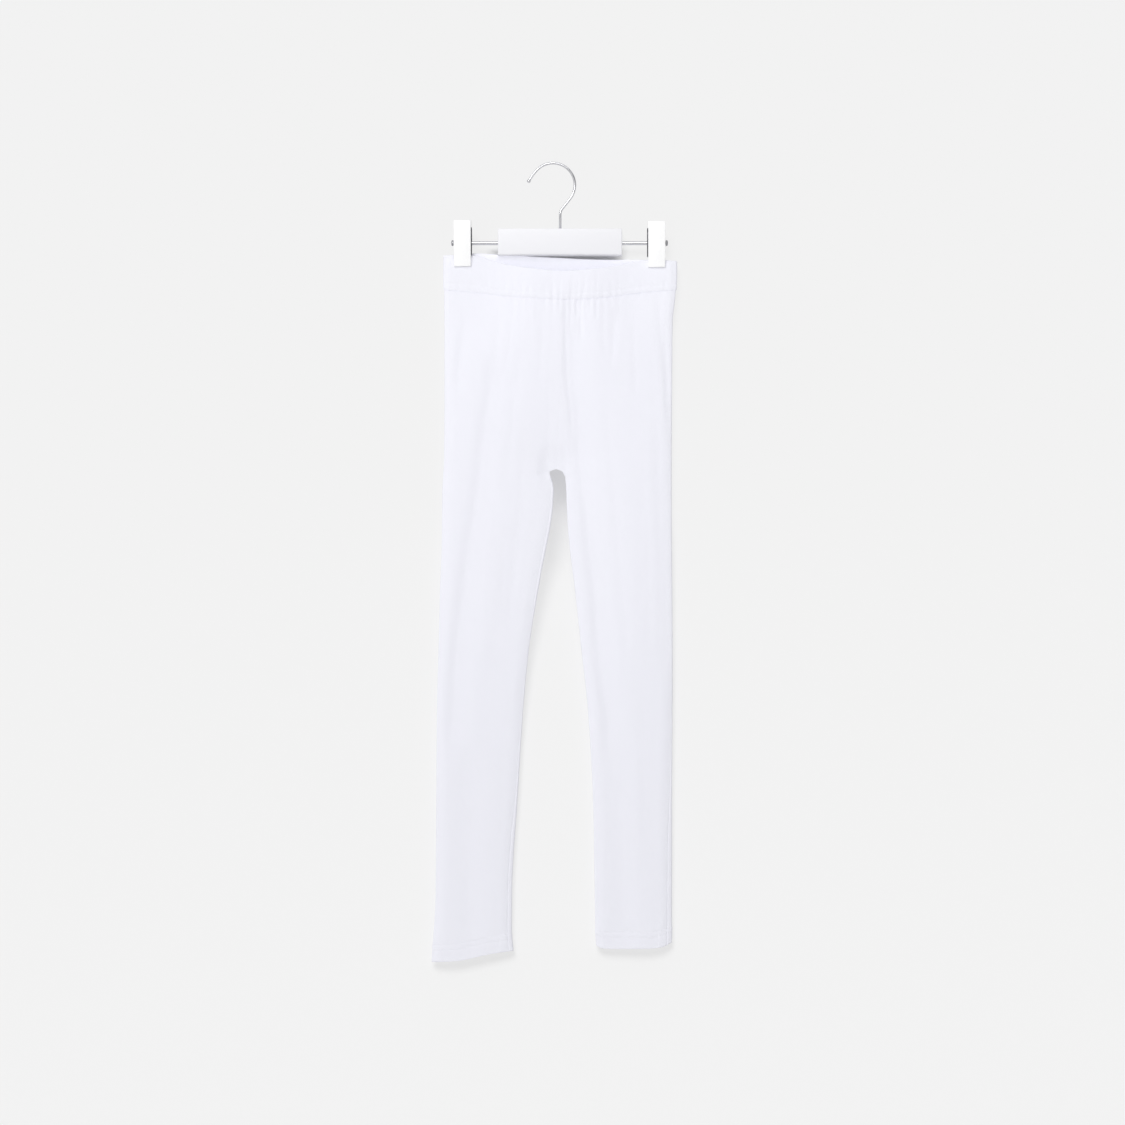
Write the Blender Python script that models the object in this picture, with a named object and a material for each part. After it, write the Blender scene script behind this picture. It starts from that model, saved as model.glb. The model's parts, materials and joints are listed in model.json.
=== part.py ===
"""A child's leggings, hung flat by two clips from a small clip hanger.

Blender 4.5: run it with blender --background --python part.py, or from Blender's text editor.

The origin is the seat inside the top of the hanger's hook. +Z is up, +X is to the right as seen from the
front, and the front of the leggings faces -Y. All named sizes and tables are in millimetres. A drop is a
distance below the origin, and across is a distance along +X. Left and right are as seen from the front.

Each leg is a flattened tube of a front and a back panel, joined at a side seam and an inseam. Above the
crotch the four panels meet at the centre seams. A panel is a grid of points: rows run down the leg, and
columns run from the side seam (share 0) to the centre seam or inseam (share 1).
"""

import math
from bisect import bisect_right
from collections import namedtuple

import bmesh
import bpy
from mathutils import Vector

MM = 0.001
SEAM_GAP = 0.3
HALF_GAP = SEAM_GAP / 2.0

# Driving sizes of the leggings
BAND_TOP = 112.5
BAND_SEAM = 150.0
CROTCH_DROP = 351.7
HEM_STITCH = 888.0
HEM_EDGE = 905.0
CLOTH = 1.5
BAND_INSIDE = 1.45
HEM_INSIDE = 1.25
FOLDED_EDGE = 0.55

# The quarter turn of the centre seam under the body, and of the inseam away from it
CROTCH_TURN = 13.7
CROTCH_DIP = 3.4

# Where the clips press the two layers together
PINCH_DEPTH = 2.4
PINCH_REACH_ACROSS = 34.0
PINCH_FADE_ACROSS = 70.0
PINCH_REACH_DOWN = 120.0
PINCH_FADE_DOWN = 120.0

# Columns of a panel: round side edge, flat part, round inner edge
FRONT_COLUMNS = (3, 24, 3)
BACK_COLUMNS = (3, 13, 3)
ROUND_STRETCH = 1.25
END_ROUND_LEAST = 4.5
END_ROUND_MOST = 6.0

# Gathers under the elastic: how deep they are, how far down they run, and the columns that make one.
# At the waist, the plain columns are the wide ones near the clip, and the gathered ones fill the rest.
GATHER_DEPTH = 0.85
GATHER_RUN = 46.0
GATHER_COLUMNS = 3
GATHERED_SHARE = 0.56
PLAIN_COLUMNS = 0.25
EVEN_FROM = 190.0
EVEN_AFTER = 150.0

# Outer edges of the legs, which hold the side seams
OuterEdge = namedtuple("OuterEdge", "drop left right")
OUTER_EDGE = [
    OuterEdge(112, -125.3, 142.1),
    OuterEdge(145, -125.3, 141.8),
    OuterEdge(168, -125.0, 139.4),
    OuterEdge(185, -124.7, 137.5),
    OuterEdge(272, -124.7, 136.7),
    OuterEdge(341, -125.3, 136.3),
    OuterEdge(376, -127.1, 136.3),
    OuterEdge(445, -128.0, 136.6),
    OuterEdge(491, -129.9, 137.0),
    OuterEdge(561, -131.7, 137.4),
    OuterEdge(630, -133.5, 137.0),
    OuterEdge(734, -134.2, 136.4),
    OuterEdge(838, -135.0, 136.3),
    OuterEdge(884, -138.0, 136.2),
    OuterEdge(921, -139.8, 135.0),
]

# Inner edges of the legs, which hold the inseams, from the crotch down
Inseam = namedtuple("Inseam", "drop left right")
INSEAM = [
    Inseam(351.7, 3.5, 3.5),
    Inseam(355.2, -4.4, 11.6),
    Inseam(362, -2.6, 14.6),
    Inseam(376, -0.2, 16.0),
    Inseam(399, -1.2, 16.7),
    Inseam(422, -4.6, 18.0),
    Inseam(445, -9.2, 20.3),
    Inseam(491, -17.9, 26.0),
    Inseam(561, -28.9, 33.6),
    Inseam(630, -35.4, 41.0),
    Inseam(734, -42.0, 47.0),
    Inseam(838, -48.3, 48.9),
    Inseam(884, -48.6, 49.6),
    Inseam(921, -44.5, 52.5),
]

# The centre seams lean, because the leggings hang a little askew
CentreSeam = namedtuple("CentreSeam", "drop front back")
CENTRE_SEAM = [
    CentreSeam(112, 15.6, 11.6),
    CentreSeam(156, 15.2, 11.4),
    CentreSeam(230, 11.2, 8.8),
    CentreSeam(310, 5.8, 5.2),
    CentreSeam(351.7, 3.5, 3.5),
]

# Half depths of the flattened tube: at the side, at the inner end, and the swell between them
Depth = namedtuple("Depth", "drop side front_end front_swell back_end back_swell")
DEPTHS = [
    Depth(112, 2.4, 13.5, 0.5, 6.5, 0.0),
    Depth(150, 3.0, 13.5, 1.0, 8.0, 0.5),
    Depth(200, 4.2, 13.0, 1.5, 9.5, 1.0),
    Depth(270, 5.0, 12.5, 2.0, 10.5, 1.0),
    Depth(338, 5.2, 11.0, 2.5, 10.0, 1.5),
    Depth(362, 5.2, 8.0, 3.2, 7.8, 2.6),
    Depth(450, 5.2, 6.0, 4.0, 6.0, 3.6),
    Depth(600, 5.0, 5.0, 4.0, 5.0, 3.6),
    Depth(750, 4.8, 4.8, 3.6, 4.8, 3.2),
    Depth(921, 4.6, 4.6, 3.2, 4.6, 3.0),
]

# The elasticated waistband: the front hangs slack between the clips, the back is nearly straight
Band = namedtuple("Band", "across front_top back_top front_seam back_seam")
BAND = [
    Band(-126, 112.6, 112.4, 145.0, 145.0),
    Band(-104, 111.0, 110.6, 146.5, 146.0),
    Band(-89, 111.0, 108.4, 148.0, 146.5),
    Band(-61, 115.5, 106.8, 151.5, 147.5),
    Band(-33, 120.4, 107.6, 154.2, 148.5),
    Band(0, 124.2, 109.2, 156.0, 149.5),
    Band(12, 124.9, 109.8, 156.4, 150.0),
    Band(40, 122.9, 110.6, 155.4, 150.0),
    Band(68, 119.3, 111.0, 153.0, 149.5),
    Band(95, 113.6, 110.6, 149.0, 148.0),
    Band(120, 111.4, 111.2, 146.5, 146.5),
    Band(143, 112.6, 112.4, 145.0, 145.0),
]

# How far each hem lies below or above HEM_EDGE, from the side seam to the inseam
Hem = namedtuple("Hem", "share left right")
HEM = [
    Hem(0.0, 16.0, -5.8),
    Hem(0.12, 15.6, -1.4),
    Hem(0.3, 14.6, 0.2),
    Hem(0.7, 7.0, 0.6),
    Hem(0.93, 3.8, 0.2),
    Hem(1.0, 3.2, -2.6),
]

# Soft hanging folds: troughs that follow (drop, across) down the cloth
Fold = namedtuple("Fold", "depth width path")
FRONT_FOLDS = [
    Fold(1.8, 7.0, [(158, -101), (203, -107), (240, -113), (290, -118)]),
    Fold(2.1, 8.0, [(225, -70), (288, -82), (347, -91), (413, -99), (488, -108), (578, -117), (660, -124)]),
    Fold(1.7, 8.0, [(163, -30), (218, -31), (303, -39), (363, -57), (449, -64), (535, -74), (640, -84),
                    (705, -96), (748, -101), (855, -99), (900, -98)]),
    Fold(3.1, 7.5, [(163, 18), (206, 19), (282, 24), (347, 31), (428, 37), (493, 42), (557, 49), (622, 58),
                    (705, 68), (757, 75), (812, 88), (877, 95), (912, 97)]),
    Fold(1.7, 7.0, [(148, 117), (191, 122), (228, 127), (270, 131)]),
    Fold(1.2, 9.0, [(160, 72), (205, 70), (262, 68)]),
    Fold(1.5, 7.0, [(350, 122), (420, 125), (493, 127), (580, 128)]),
]
BACK_FOLDS = [
    Fold(1.6, 8.0, [(156, -88), (215, -95), (290, -104), (370, -110), (450, -116)]),
    Fold(1.9, 8.0, [(200, -48), (290, -56), (380, -68), (480, -80), (590, -92), (700, -104)]),
    Fold(1.4, 8.0, [(660, -70), (740, -80), (820, -88), (900, -92)]),
    Fold(2.2, 8.0, [(170, 40), (260, 46), (350, 54), (450, 66), (560, 82), (680, 96)]),
    Fold(1.6, 8.0, [(660, 72), (740, 83), (830, 98), (900, 104)]),
    Fold(1.4, 7.0, [(150, 104), (210, 112), (290, 120), (360, 124)]),
]
FOLD_FADE = 45.0

# Sizes of the hanger
HOOK_WIRE = 1.6
HOOK_RADIUS = 25.3
HOOK_TIP_ANGLE = 177.0
HOOK_END_ANGLE = -38.0
HOOK_STEP_ANGLE = 9.0
HOOK_FILLET = 10.0
FILLET_POINTS = 4
STEM_ACROSS = 8.4

# The ball at the hook's tip: distance along the wire from its end, and thickness against the wire's
Ball = namedtuple("Ball", "along swelling")
BALL = [Ball(0.0, 0.35), Ball(0.7, 1.1), Ball(2.2, 1.42), Ball(3.6, 1.3)]
HOOK_BALL = 3.2

BAR_LENGTH = 143.2
BAR_HEIGHT = 31.2
BAR_THICKNESS = 14.0
BAR_ACROSS = 8.1
BAR_DROP = 90.1
BAR_ROUNDING = 1.6
STEM_HOLE_DEPTH = 10.0
ROD_RADIUS = 1.6
ROD_DROP = 91.5
ROD_LEFT = -114.6
ROD_RIGHT = 129.9
STOP_RADIUS = 4.3
STOP_THICKNESS = 2.2
ROUND_SIDES = 20
CLIP_WIDTH = 19.6
CLIP_BEVEL = 0.7
SLEEVE_RADIUS = 5.6
SPRING_SHIFT = 2.6
SPRING_INSET = 1.6
SPRING_THICKNESS = 1.0
SPRING_ARCH = 9.5
SPRING_LEGS = (105.5, 98.0, 90.0, 82.0)

Clip = namedtuple("Clip", "name across lowered inward")
CLIPS = [
    Clip("clip_left", -104.5, 0.0, 1.0),
    Clip("clip_right", 119.6, 1.0, -1.0),
]

# Side profile of a clip's front jaw, from its lip up: distance from the middle plane, and drop
Jaw = namedtuple("Jaw", "drop inner outer")
JAW = [
    Jaw(118.3, 3.7, 6.2),
    Jaw(115.5, 3.7, 7.0),
    Jaw(111.0, 3.7, 7.6),
    Jaw(104.0, 6.0, 9.2),
    Jaw(80.0, 8.3, 11.4),
    Jaw(64.2, 9.0, 11.8),
]
BACK_JAW_TALLER = 1.6

# Angles between faces, in degrees, above which an edge is shaded sharp
HARD_SHARP = 40.0
CLOTH_SHARP = 65.0

Finish = namedtuple("Finish", "color roughness metallic")
FINISHES = {
    "jersey": Finish((0.86, 0.87, 0.92), 0.9, 0.0),
    "white_plastic": Finish((0.93, 0.93, 0.94), 0.35, 0.0),
    "chrome": Finish((0.8, 0.8, 0.82), 0.15, 1.0),
    "spring_steel": Finish((0.42, 0.42, 0.44), 0.35, 1.0),
}


class Curve:
    """A smooth curve through a table's points that never overshoots them."""

    def __init__(self, places, values):
        self.places = list(places)
        self.values = list(values)
        steps = [b - a for a, b in zip(self.places, self.places[1:])]
        rises = [(b - a) / h for a, b, h in zip(self.values, self.values[1:], steps)]
        self.slopes = [rises[0]]
        for before, after in zip(rises, rises[1:]):
            if before * after <= 0.0:
                self.slopes.append(0.0)
            else:
                self.slopes.append(2.0 * before * after / (before + after))
        self.slopes.append(rises[-1])

    def at(self, place):
        """Value at a place, held level beyond both ends."""
        if place <= self.places[0]:
            return self.values[0]
        if place >= self.places[-1]:
            return self.values[-1]
        i = bisect_right(self.places, place) - 1
        h = self.places[i + 1] - self.places[i]
        t = (place - self.places[i]) / h
        from_start = (1 + 2 * t) * (1 - t) ** 2 * self.values[i] + t * (1 - t) ** 2 * h * self.slopes[i]
        from_end = t * t * (3 - 2 * t) * self.values[i + 1] - t * t * (1 - t) * h * self.slopes[i + 1]
        return from_start + from_end


def curves(table):
    """One Curve for each named column of a table, over its first column."""
    first = table[0]._fields[0]
    places = [getattr(row, first) for row in table]
    return {name: Curve(places, [getattr(row, name) for row in table]) for name in table[0]._fields[1:]}


OUTER_EDGES = curves(OUTER_EDGE)
INSEAMS = curves(INSEAM)
SEAMS = curves(CENTRE_SEAM)
DEPTH = curves(DEPTHS)
BANDS = curves(BAND)
HEMS = curves(HEM)


def smooth(value):
    """Ease from 0 to 1."""
    t = min(1.0, max(0.0, value))
    return t * t * (3.0 - 2.0 * t)


def fold_push(folds, drop, across):
    """How far the folds push the cloth towards the inside at one place."""
    push = 0.0
    for fold in folds:
        start, end = fold.path[0][0], fold.path[-1][0]
        if not start - FOLD_FADE < drop < end + FOLD_FADE:
            continue
        centre = Curve(*zip(*fold.path)).at(drop)
        fade = smooth((drop - start) / FOLD_FADE + 1.0) * smooth((end - drop) / FOLD_FADE + 1.0)
        push += fold.depth * fade * math.exp(-(((across - centre) / fold.width) ** 2))
    return push


class Panel:
    """One of the four cut panels, as points worked out from share and drop."""

    def __init__(self, side, layer):
        self.side = side
        self.layer = layer
        self.inwards = 1.0 if side == "left" else -1.0
        self.facing = -1.0 if layer == "front" else 1.0
        self.folds = FRONT_FOLDS if layer == "front" else BACK_FOLDS
        self.round_out, self.flat, self.round_in = FRONT_COLUMNS if layer == "front" else BACK_COLUMNS
        self.columns = self.round_out + self.flat + self.round_in

    def centre(self, drop):
        """Where the centre seam is."""
        return SEAMS[self.layer].at(drop)

    def ends(self, outer_drop, inner_drop):
        """Across positions of both ends of a row."""
        outer = OUTER_EDGES[self.side].at(outer_drop)
        if inner_drop < CROTCH_DROP:
            inner = self.centre(inner_drop)
        else:
            inner = INSEAMS[self.side].at(inner_drop)
        if inner_drop <= CROTCH_DROP:
            inner -= self.inwards * HALF_GAP
        return outer, inner

    def flat_share(self, step, drop):
        """Share of the flat part at a column: gathered towards the centre at the waist, even on the legs."""
        even = step / self.flat
        if even < PLAIN_COLUMNS:
            gathered = (1.0 - GATHERED_SHARE) * even / PLAIN_COLUMNS
        else:
            gathered = 1.0 - GATHERED_SHARE * (1.0 - even) / (1.0 - PLAIN_COLUMNS)
        return gathered + (even - gathered) * smooth((drop - EVEN_FROM) / EVEN_AFTER)

    def released(self, across, drop):
        """0 where a clip presses the layers together, 1 where they hang free."""
        from_side = abs(across - OUTER_EDGES[self.side].at(drop))
        beside = smooth((from_side - PINCH_REACH_ACROSS) / PINCH_FADE_ACROSS)
        below = smooth((drop - PINCH_REACH_DOWN) / PINCH_FADE_DOWN)
        return 1.0 - (1.0 - beside) * (1.0 - below)

    def gather(self, step, drop):
        """Push of the gathers, each a trough of one column between two ridge columns."""
        if not PLAIN_COLUMNS * self.flat < step < self.flat:
            return 0.0
        number = (step + 1) // GATHER_COLUMNS
        strength = 0.4 + 0.6 * smooth((step / self.flat - PLAIN_COLUMNS) / 0.4)
        uneven = 1.0 + 0.35 * math.sin(2.1 * number + (0.6 if self.side == "left" else 2.2))
        run = GATHER_RUN * (0.75 + 0.35 * math.sin(1.7 * number + 1.0))
        below = max(0.0, drop - BAND_SEAM) / run
        above = max(0.0, BAND_SEAM - drop) / (BAND_SEAM - BAND_TOP)
        fade = math.exp(-below * below) * (1.0 - 0.45 * above)
        return GATHER_DEPTH * strength * uneven * fade * math.cos(2.0 * math.pi * step / GATHER_COLUMNS)

    def point(self, column, row):
        """A point of the middle of the wall."""
        outer_drop, inner_drop, turn = row
        outer, inner = self.ends(outer_drop, inner_drop)
        width = abs(inner - outer)
        side_depth = DEPTH["side"].at(outer_drop)
        end_depth = DEPTH[self.layer + "_end"].at(inner_drop)
        side_round = ROUND_STRETCH * side_depth
        end_round = ROUND_STRETCH * max(END_ROUND_LEAST, min(end_depth, END_ROUND_MOST))
        flat_width = width - side_round - end_round
        quarter = math.pi / 2.0
        step = column - self.round_out
        push = 0.0
        if step <= 0:
            angle = quarter * column / self.round_out
            reach = side_round * (1.0 - math.cos(angle))
            depth = side_depth * math.sin(angle)
        elif step <= self.flat:
            flat = self.flat_share(step, outer_drop)
            reach = side_round + flat_width * flat
            swell = DEPTH[self.layer + "_swell"].at((outer_drop + inner_drop) / 2.0)
            depth = side_depth + (end_depth - side_depth) * smooth(flat) + swell * math.sin(math.pi * flat)
            push = math.sqrt(max(0.0, math.sin(quarter * flat * (1.0 + turn))))
        else:
            angle = quarter * (step - self.flat) / self.round_in
            along = math.sin(angle * turn) / math.sin(quarter * turn) if turn > 0.0 else angle / quarter
            reach = side_round + flat_width + end_round * along
            depth = end_depth * math.cos(angle * turn)
            push = math.sqrt(max(0.0, math.cos(quarter * turn))) * math.cos(angle * turn)
        share = reach / width
        drop = outer_drop + (inner_drop - outer_drop) * share
        across = outer + self.inwards * reach
        free = self.released(across, drop)
        if depth > PINCH_DEPTH:
            depth = PINCH_DEPTH + (depth - PINCH_DEPTH) * free
        depth -= free * push * fold_push(self.folds, drop, across)
        depth -= free * self.gather(step, drop)
        return Vector((across, self.facing * (depth + HALF_GAP), -self.real_drop(drop, across, share)))

    def real_drop(self, drop, across, share):
        """Drop with the slack of the waistband and the slant of the hem."""
        top = BANDS[self.layer + "_top"].at(across)
        seam = BANDS[self.layer + "_seam"].at(across)
        if drop < BAND_SEAM:
            return top + (seam - top) * (drop - BAND_TOP) / (BAND_SEAM - BAND_TOP)
        waist = (seam - BAND_SEAM) * (1.0 - smooth((drop - BAND_SEAM) / 110.0))
        hem = HEMS[self.side].at(share) * smooth((drop - 760.0) / (HEM_EDGE - 760.0))
        return drop + waist + hem

    def rows(self):
        """Rows from the waistband's seam to the hem, as outer drop, inner drop and turn of the inner edge."""
        body, leg = (9, 11) if self.layer == "front" else (8, 10)
        turn_start = CROTCH_DROP - CROTCH_TURN
        first = BAND_SEAM + SEAM_GAP
        found = []
        for i in range(body):
            drop = first + (turn_start - 14.0 - first) * (i / (body - 1)) ** 1.15
            found.append((drop, drop, 0.0))
        for i in range(5):
            angle = math.pi / 2.0 * i / 4
            found.append((turn_start - 5.0 + 6.0 * i, turn_start + CROTCH_TURN * math.sin(angle), i / 4))
        crotch_outer = found[-1][0]
        for i, dip in enumerate((0.16, 0.52, 1.0, 2.4, 4.6), start=1):
            found.append((crotch_outer + 6.5 * i, CROTCH_DROP + CROTCH_DIP * dip, 1.0))
        outer_start, inner_start = found[-1][0], found[-1][1]
        for i in range(1, leg + 1):
            part = i / leg
            outer = outer_start + (HEM_STITCH - outer_start) * part
            inner = inner_start + (HEM_STITCH - inner_start) * part ** 1.12
            found.append((outer, inner, 1.0))
        found.append((HEM_STITCH + 1.6, HEM_STITCH + 1.6, 1.0))
        found.append((HEM_EDGE, HEM_EDGE, 1.0))
        return found

    def band_rows(self):
        """Rows of the waistband, from its folded top to its seam."""
        drops = [BAND_TOP + (BAND_SEAM - BAND_TOP) * part for part in (0.0, 0.08, 0.45, 0.84, 1.0)]
        return [(drop, drop, 0.0) for drop in drops]


def normals(grid, outward):
    """Unit normals of a grid of points, on the side that outward points to at the grid's middle."""
    last_row, last_column = len(grid) - 1, len(grid[0]) - 1
    found = []
    for i in range(len(grid)):
        line = []
        for j in range(len(grid[0])):
            across = grid[i][min(j + 1, last_column)] - grid[i][max(j - 1, 0)]
            down = grid[min(i + 1, last_row)][j] - grid[max(i - 1, 0)][j]
            line.append(across.cross(down).normalized())
        found.append(line)
    middle = found[len(grid) // 2][len(grid[0]) // 2]
    sign = 1.0 if middle.y * outward > 0.0 else -1.0
    return [[sign * n for n in line] for line in found]


def in_plane(normal, plane):
    """The normal, laid into a plane."""
    return (normal - plane * normal.dot(plane)).normalized()


def wall(name, outer, inner, top_fold, bottom_fold, finish):
    """A closed wall between an outer and an inner grid, with folded or plain top and bottom edges."""
    bm = bmesh.new()
    outside = [[bm.verts.new(p * MM) for p in line] for line in outer]
    inside = [[bm.verts.new(p * MM) for p in line] for line in inner]
    rows, columns = len(outer), len(outer[0])
    for i in range(rows - 1):
        for j in range(columns - 1):
            bm.faces.new((outside[i][j], outside[i][j + 1], outside[i + 1][j + 1], outside[i + 1][j]))
            bm.faces.new((inside[i][j], inside[i + 1][j], inside[i + 1][j + 1], inside[i][j + 1]))
    for i, fold in ((0, top_fold), (rows - 1, bottom_fold)):
        border(bm, outside[i], inside[i], fold)
    for j in (0, columns - 1):
        border(bm, [line[j] for line in outside], [line[j] for line in inside], 0.0)
    fill_fold_ends(bm)
    bmesh.ops.recalc_face_normals(bm, faces=bm.faces)
    return finished(name, bm, finish, CLOTH_SHARP)


def border(bm, outside, inside, fold):
    """Faces that close a wall along one edge. A fold adds a middle line, raised or lowered by its size."""
    if fold == 0.0:
        for k in range(len(outside) - 1):
            bm.faces.new((outside[k], outside[k + 1], inside[k + 1], inside[k]))
        return
    crest = []
    for a, b in zip(outside, inside):
        crest.append(bm.verts.new((a.co + b.co) / 2.0 + Vector((0.0, 0.0, fold * MM))))
    for k in range(len(outside) - 1):
        bm.faces.new((outside[k], outside[k + 1], crest[k + 1], crest[k]))
        bm.faces.new((crest[k], crest[k + 1], inside[k + 1], inside[k]))


def fill_fold_ends(bm):
    """Close the small triangles at both ends of a folded edge."""
    open_edges = [e for e in bm.edges if e.is_boundary]
    if open_edges:
        bmesh.ops.holes_fill(bm, edges=open_edges, sides=3)


def finished(name, bm, finish, sharp=HARD_SHARP):
    """An object from a bmesh, with its own material, shaded smooth up to an angle."""
    mesh = bpy.data.meshes.new(name)
    bm.to_mesh(mesh)
    bm.free()
    mesh.shade_smooth()
    mesh.set_sharp_from_angle(angle=math.radians(sharp))
    obj = bpy.data.objects.new(name, mesh)
    bpy.context.scene.collection.objects.link(obj)
    mesh.materials.append(material(name, finish))
    return obj


def material(name, finish):
    """A Principled material in one of the named finishes."""
    made = bpy.data.materials.new(name)
    made.use_nodes = True
    shader = made.node_tree.nodes["Principled BSDF"]
    look = FINISHES[finish]
    shader.inputs["Base Color"].default_value = (*look.color, 1.0)
    shader.inputs["Roughness"].default_value = look.roughness
    shader.inputs["Metallic"].default_value = look.metallic
    made.diffuse_color = (*look.color, 1.0)
    return made


def panel_object(side, layer):
    """One cut panel, from the waistband's seam to its turned hem."""
    panel = Panel(side, layer)
    rows = panel.rows()
    grid = [[panel.point(j, row) for j in range(panel.columns + 1)] for row in rows]
    lines = normals(grid, panel.facing)
    crotch = next(i for i, row in enumerate(rows) if row[2] == 1.0)
    side_plane = Vector((0.0, 1.0, 0.0))
    for i, line in enumerate(lines):
        line[0] = in_plane(line[0], side_plane)
        if i < crotch:
            above, below = panel.centre(rows[i][1] - 1.0), panel.centre(rows[i][1] + 1.0)
            line[-1] = in_plane(line[-1], Vector((2.0, 0.0, below - above)).normalized())
        elif i == crotch:
            line[-1] = Vector((0.0, 0.0, -1.0))
        else:
            line[-1] = in_plane(line[-1], side_plane)
    outer, inner = [], []
    for i, row in enumerate(rows):
        in_hem = row[0] > HEM_STITCH
        out_by = CLOTH / 2.0 + (0.25 if in_hem else 0.0)
        in_by = HEM_INSIDE if in_hem else CLOTH / 2.0
        outer.append([keep_clear(panel, row, p + n * out_by) for p, n in zip(grid[i], lines[i])])
        inner.append([keep_clear(panel, row, p - n * in_by) for p, n in zip(grid[i], lines[i])])
    return wall(layer + "_" + side, outer, inner, 0.0, -FOLDED_EDGE, "jersey")


def keep_clear(panel, row, point):
    """The point, held on its own side of the planes where the panels meet."""
    point.y = panel.facing * max(point.y * panel.facing, HALF_GAP)
    if row[1] <= CROTCH_DROP + 2.0 * CROTCH_DIP:
        limit = panel.centre(-point.z) - panel.inwards * HALF_GAP
        if (point.x - limit) * panel.inwards > 0.0:
            point.x = limit
    return point


def band_object(layer):
    """Front or back of the elasticated waistband, from side seam to side seam."""
    left, right = Panel("left", layer), Panel("right", layer)
    picked = range(left.columns - left.round_in + 1)
    grid = []
    for row in left.band_rows():
        line = [left.point(j, row) for j in picked]
        middle = (left.point(left.columns, row) + right.point(right.columns, row)) / 2.0
        line.append(middle)
        line.extend(right.point(j, row) for j in reversed(picked))
        grid.append(line)
    for j in range(len(grid[0])):
        grid[-1][j].z += SEAM_GAP
    lines = normals(grid, left.facing)
    side_plane = Vector((0.0, 1.0, 0.0))
    for line in lines:
        line[0] = in_plane(line[0], side_plane)
        line[-1] = in_plane(line[-1], side_plane)
    outer = [[p + n * CLOTH / 2.0 for p, n in zip(g, m)] for g, m in zip(grid, lines)]
    inner = [[p - n * BAND_INSIDE for p, n in zip(g, m)] for g, m in zip(grid, lines)]
    for point in (p for line in outer + inner for p in line):
        point.y = left.facing * max(point.y * left.facing, HALF_GAP)
    return wall("waistband_" + layer, outer, inner, FOLDED_EDGE, 0.0, "jersey")


def hook_path():
    """Middle line of the hook's wire: round the top, down the slanting neck and the stem."""
    centre_drop = HOOK_RADIUS - HOOK_WIRE
    count = round((HOOK_TIP_ANGLE - HOOK_END_ANGLE) / HOOK_STEP_ANGLE)
    points = []
    for i in range(count + 1):
        angle = math.radians(HOOK_TIP_ANGLE + (HOOK_END_ANGLE - HOOK_TIP_ANGLE) * i / count)
        points.append((HOOK_RADIUS * math.cos(angle), HOOK_RADIUS * math.sin(angle) - centre_drop))
    lean = math.radians(HOOK_END_ANGLE)
    end_across, end_up = points[-1]
    bend_up = end_up - (end_across - STEM_ACROSS) / math.tan(-lean)
    cut = HOOK_FILLET * math.tan(-lean / 2.0)
    for i in range(FILLET_POINTS):
        angle = lean * (1.0 - i / (FILLET_POINTS - 1))
        across = STEM_ACROSS + HOOK_FILLET * (1.0 - math.cos(angle))
        points.append((across, bend_up - cut - HOOK_FILLET * math.sin(angle)))
    points.append((STEM_ACROSS, -(BAR_DROP - BAR_HEIGHT / 2.0) - STEM_HOLE_DEPTH + SEAM_GAP))
    return points


def make_hook():
    """The chromed wire hook, with a rounded ball at its tip."""
    points = hook_path()
    tip, after = Vector(points[0]), Vector(points[1])
    back = (tip - after).normalized()
    ball = [(tip + back * (HOOK_BALL - place.along), place.swelling) for place in BALL]
    route = [(p.x, p.y, r) for p, r in ball] + [(x, z, 1.0) for x, z in points[1:]]
    data = bpy.data.curves.new("hanger_hook", "CURVE")
    data.dimensions = "3D"
    data.bevel_depth = HOOK_WIRE * MM
    data.bevel_resolution = 3
    data.use_fill_caps = True
    spline = data.splines.new("POLY")
    spline.points.add(len(route) - 1)
    for place, (x, z, radius) in zip(spline.points, route):
        place.co = (x * MM, 0.0, z * MM, 1.0)
        place.radius = radius
    spline.use_smooth = True
    obj = bpy.data.objects.new("hanger_hook", data)
    bpy.context.scene.collection.objects.link(obj)
    data.materials.append(material("hanger_hook", "chrome"))
    return obj


def box_mesh(name, size, centre, rounding, finish):
    """A box with rounded edges."""
    bm = bmesh.new()
    bmesh.ops.create_cube(bm, size=1.0)
    bmesh.ops.scale(bm, vec=Vector(size) * MM, verts=bm.verts)
    bmesh.ops.bevel(bm, geom=bm.edges[:], offset=rounding * MM, segments=2, profile=0.5, affect="EDGES")
    bmesh.ops.translate(bm, vec=Vector(centre) * MM, verts=bm.verts)
    return finished(name, bm, finish)


def round_bar(name, radius, start, end, drop, finish, bore=0.0):
    """A round bar or tube along X, with slightly broken edges."""
    broken = min(0.5, radius * 0.25)
    profile = [(start, radius - broken), (start + broken, radius)]
    profile += [(end - broken, radius), (end, radius - broken)]
    if bore > 0.0:
        profile += [(end, bore), (start, bore)]
    bm = bmesh.new()
    rings = []
    for across, size in profile:
        ring = []
        for k in range(ROUND_SIDES):
            angle = 2.0 * math.pi * k / ROUND_SIDES
            point = Vector((across, size * math.cos(angle), size * math.sin(angle) - drop))
            ring.append(bm.verts.new(point * MM))
        rings.append(ring)
    pairs = list(zip(rings, rings[1:]))
    if bore > 0.0:
        pairs.append((rings[-1], rings[0]))
    else:
        bm.faces.new(rings[0])
        bm.faces.new(rings[-1])
    for one, two in pairs:
        for k in range(ROUND_SIDES):
            nxt = (k + 1) % ROUND_SIDES
            bm.faces.new((one[k], one[nxt], two[nxt], two[k]))
    bmesh.ops.recalc_face_normals(bm, faces=bm.faces)
    return finished(name, bm, finish)


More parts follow.
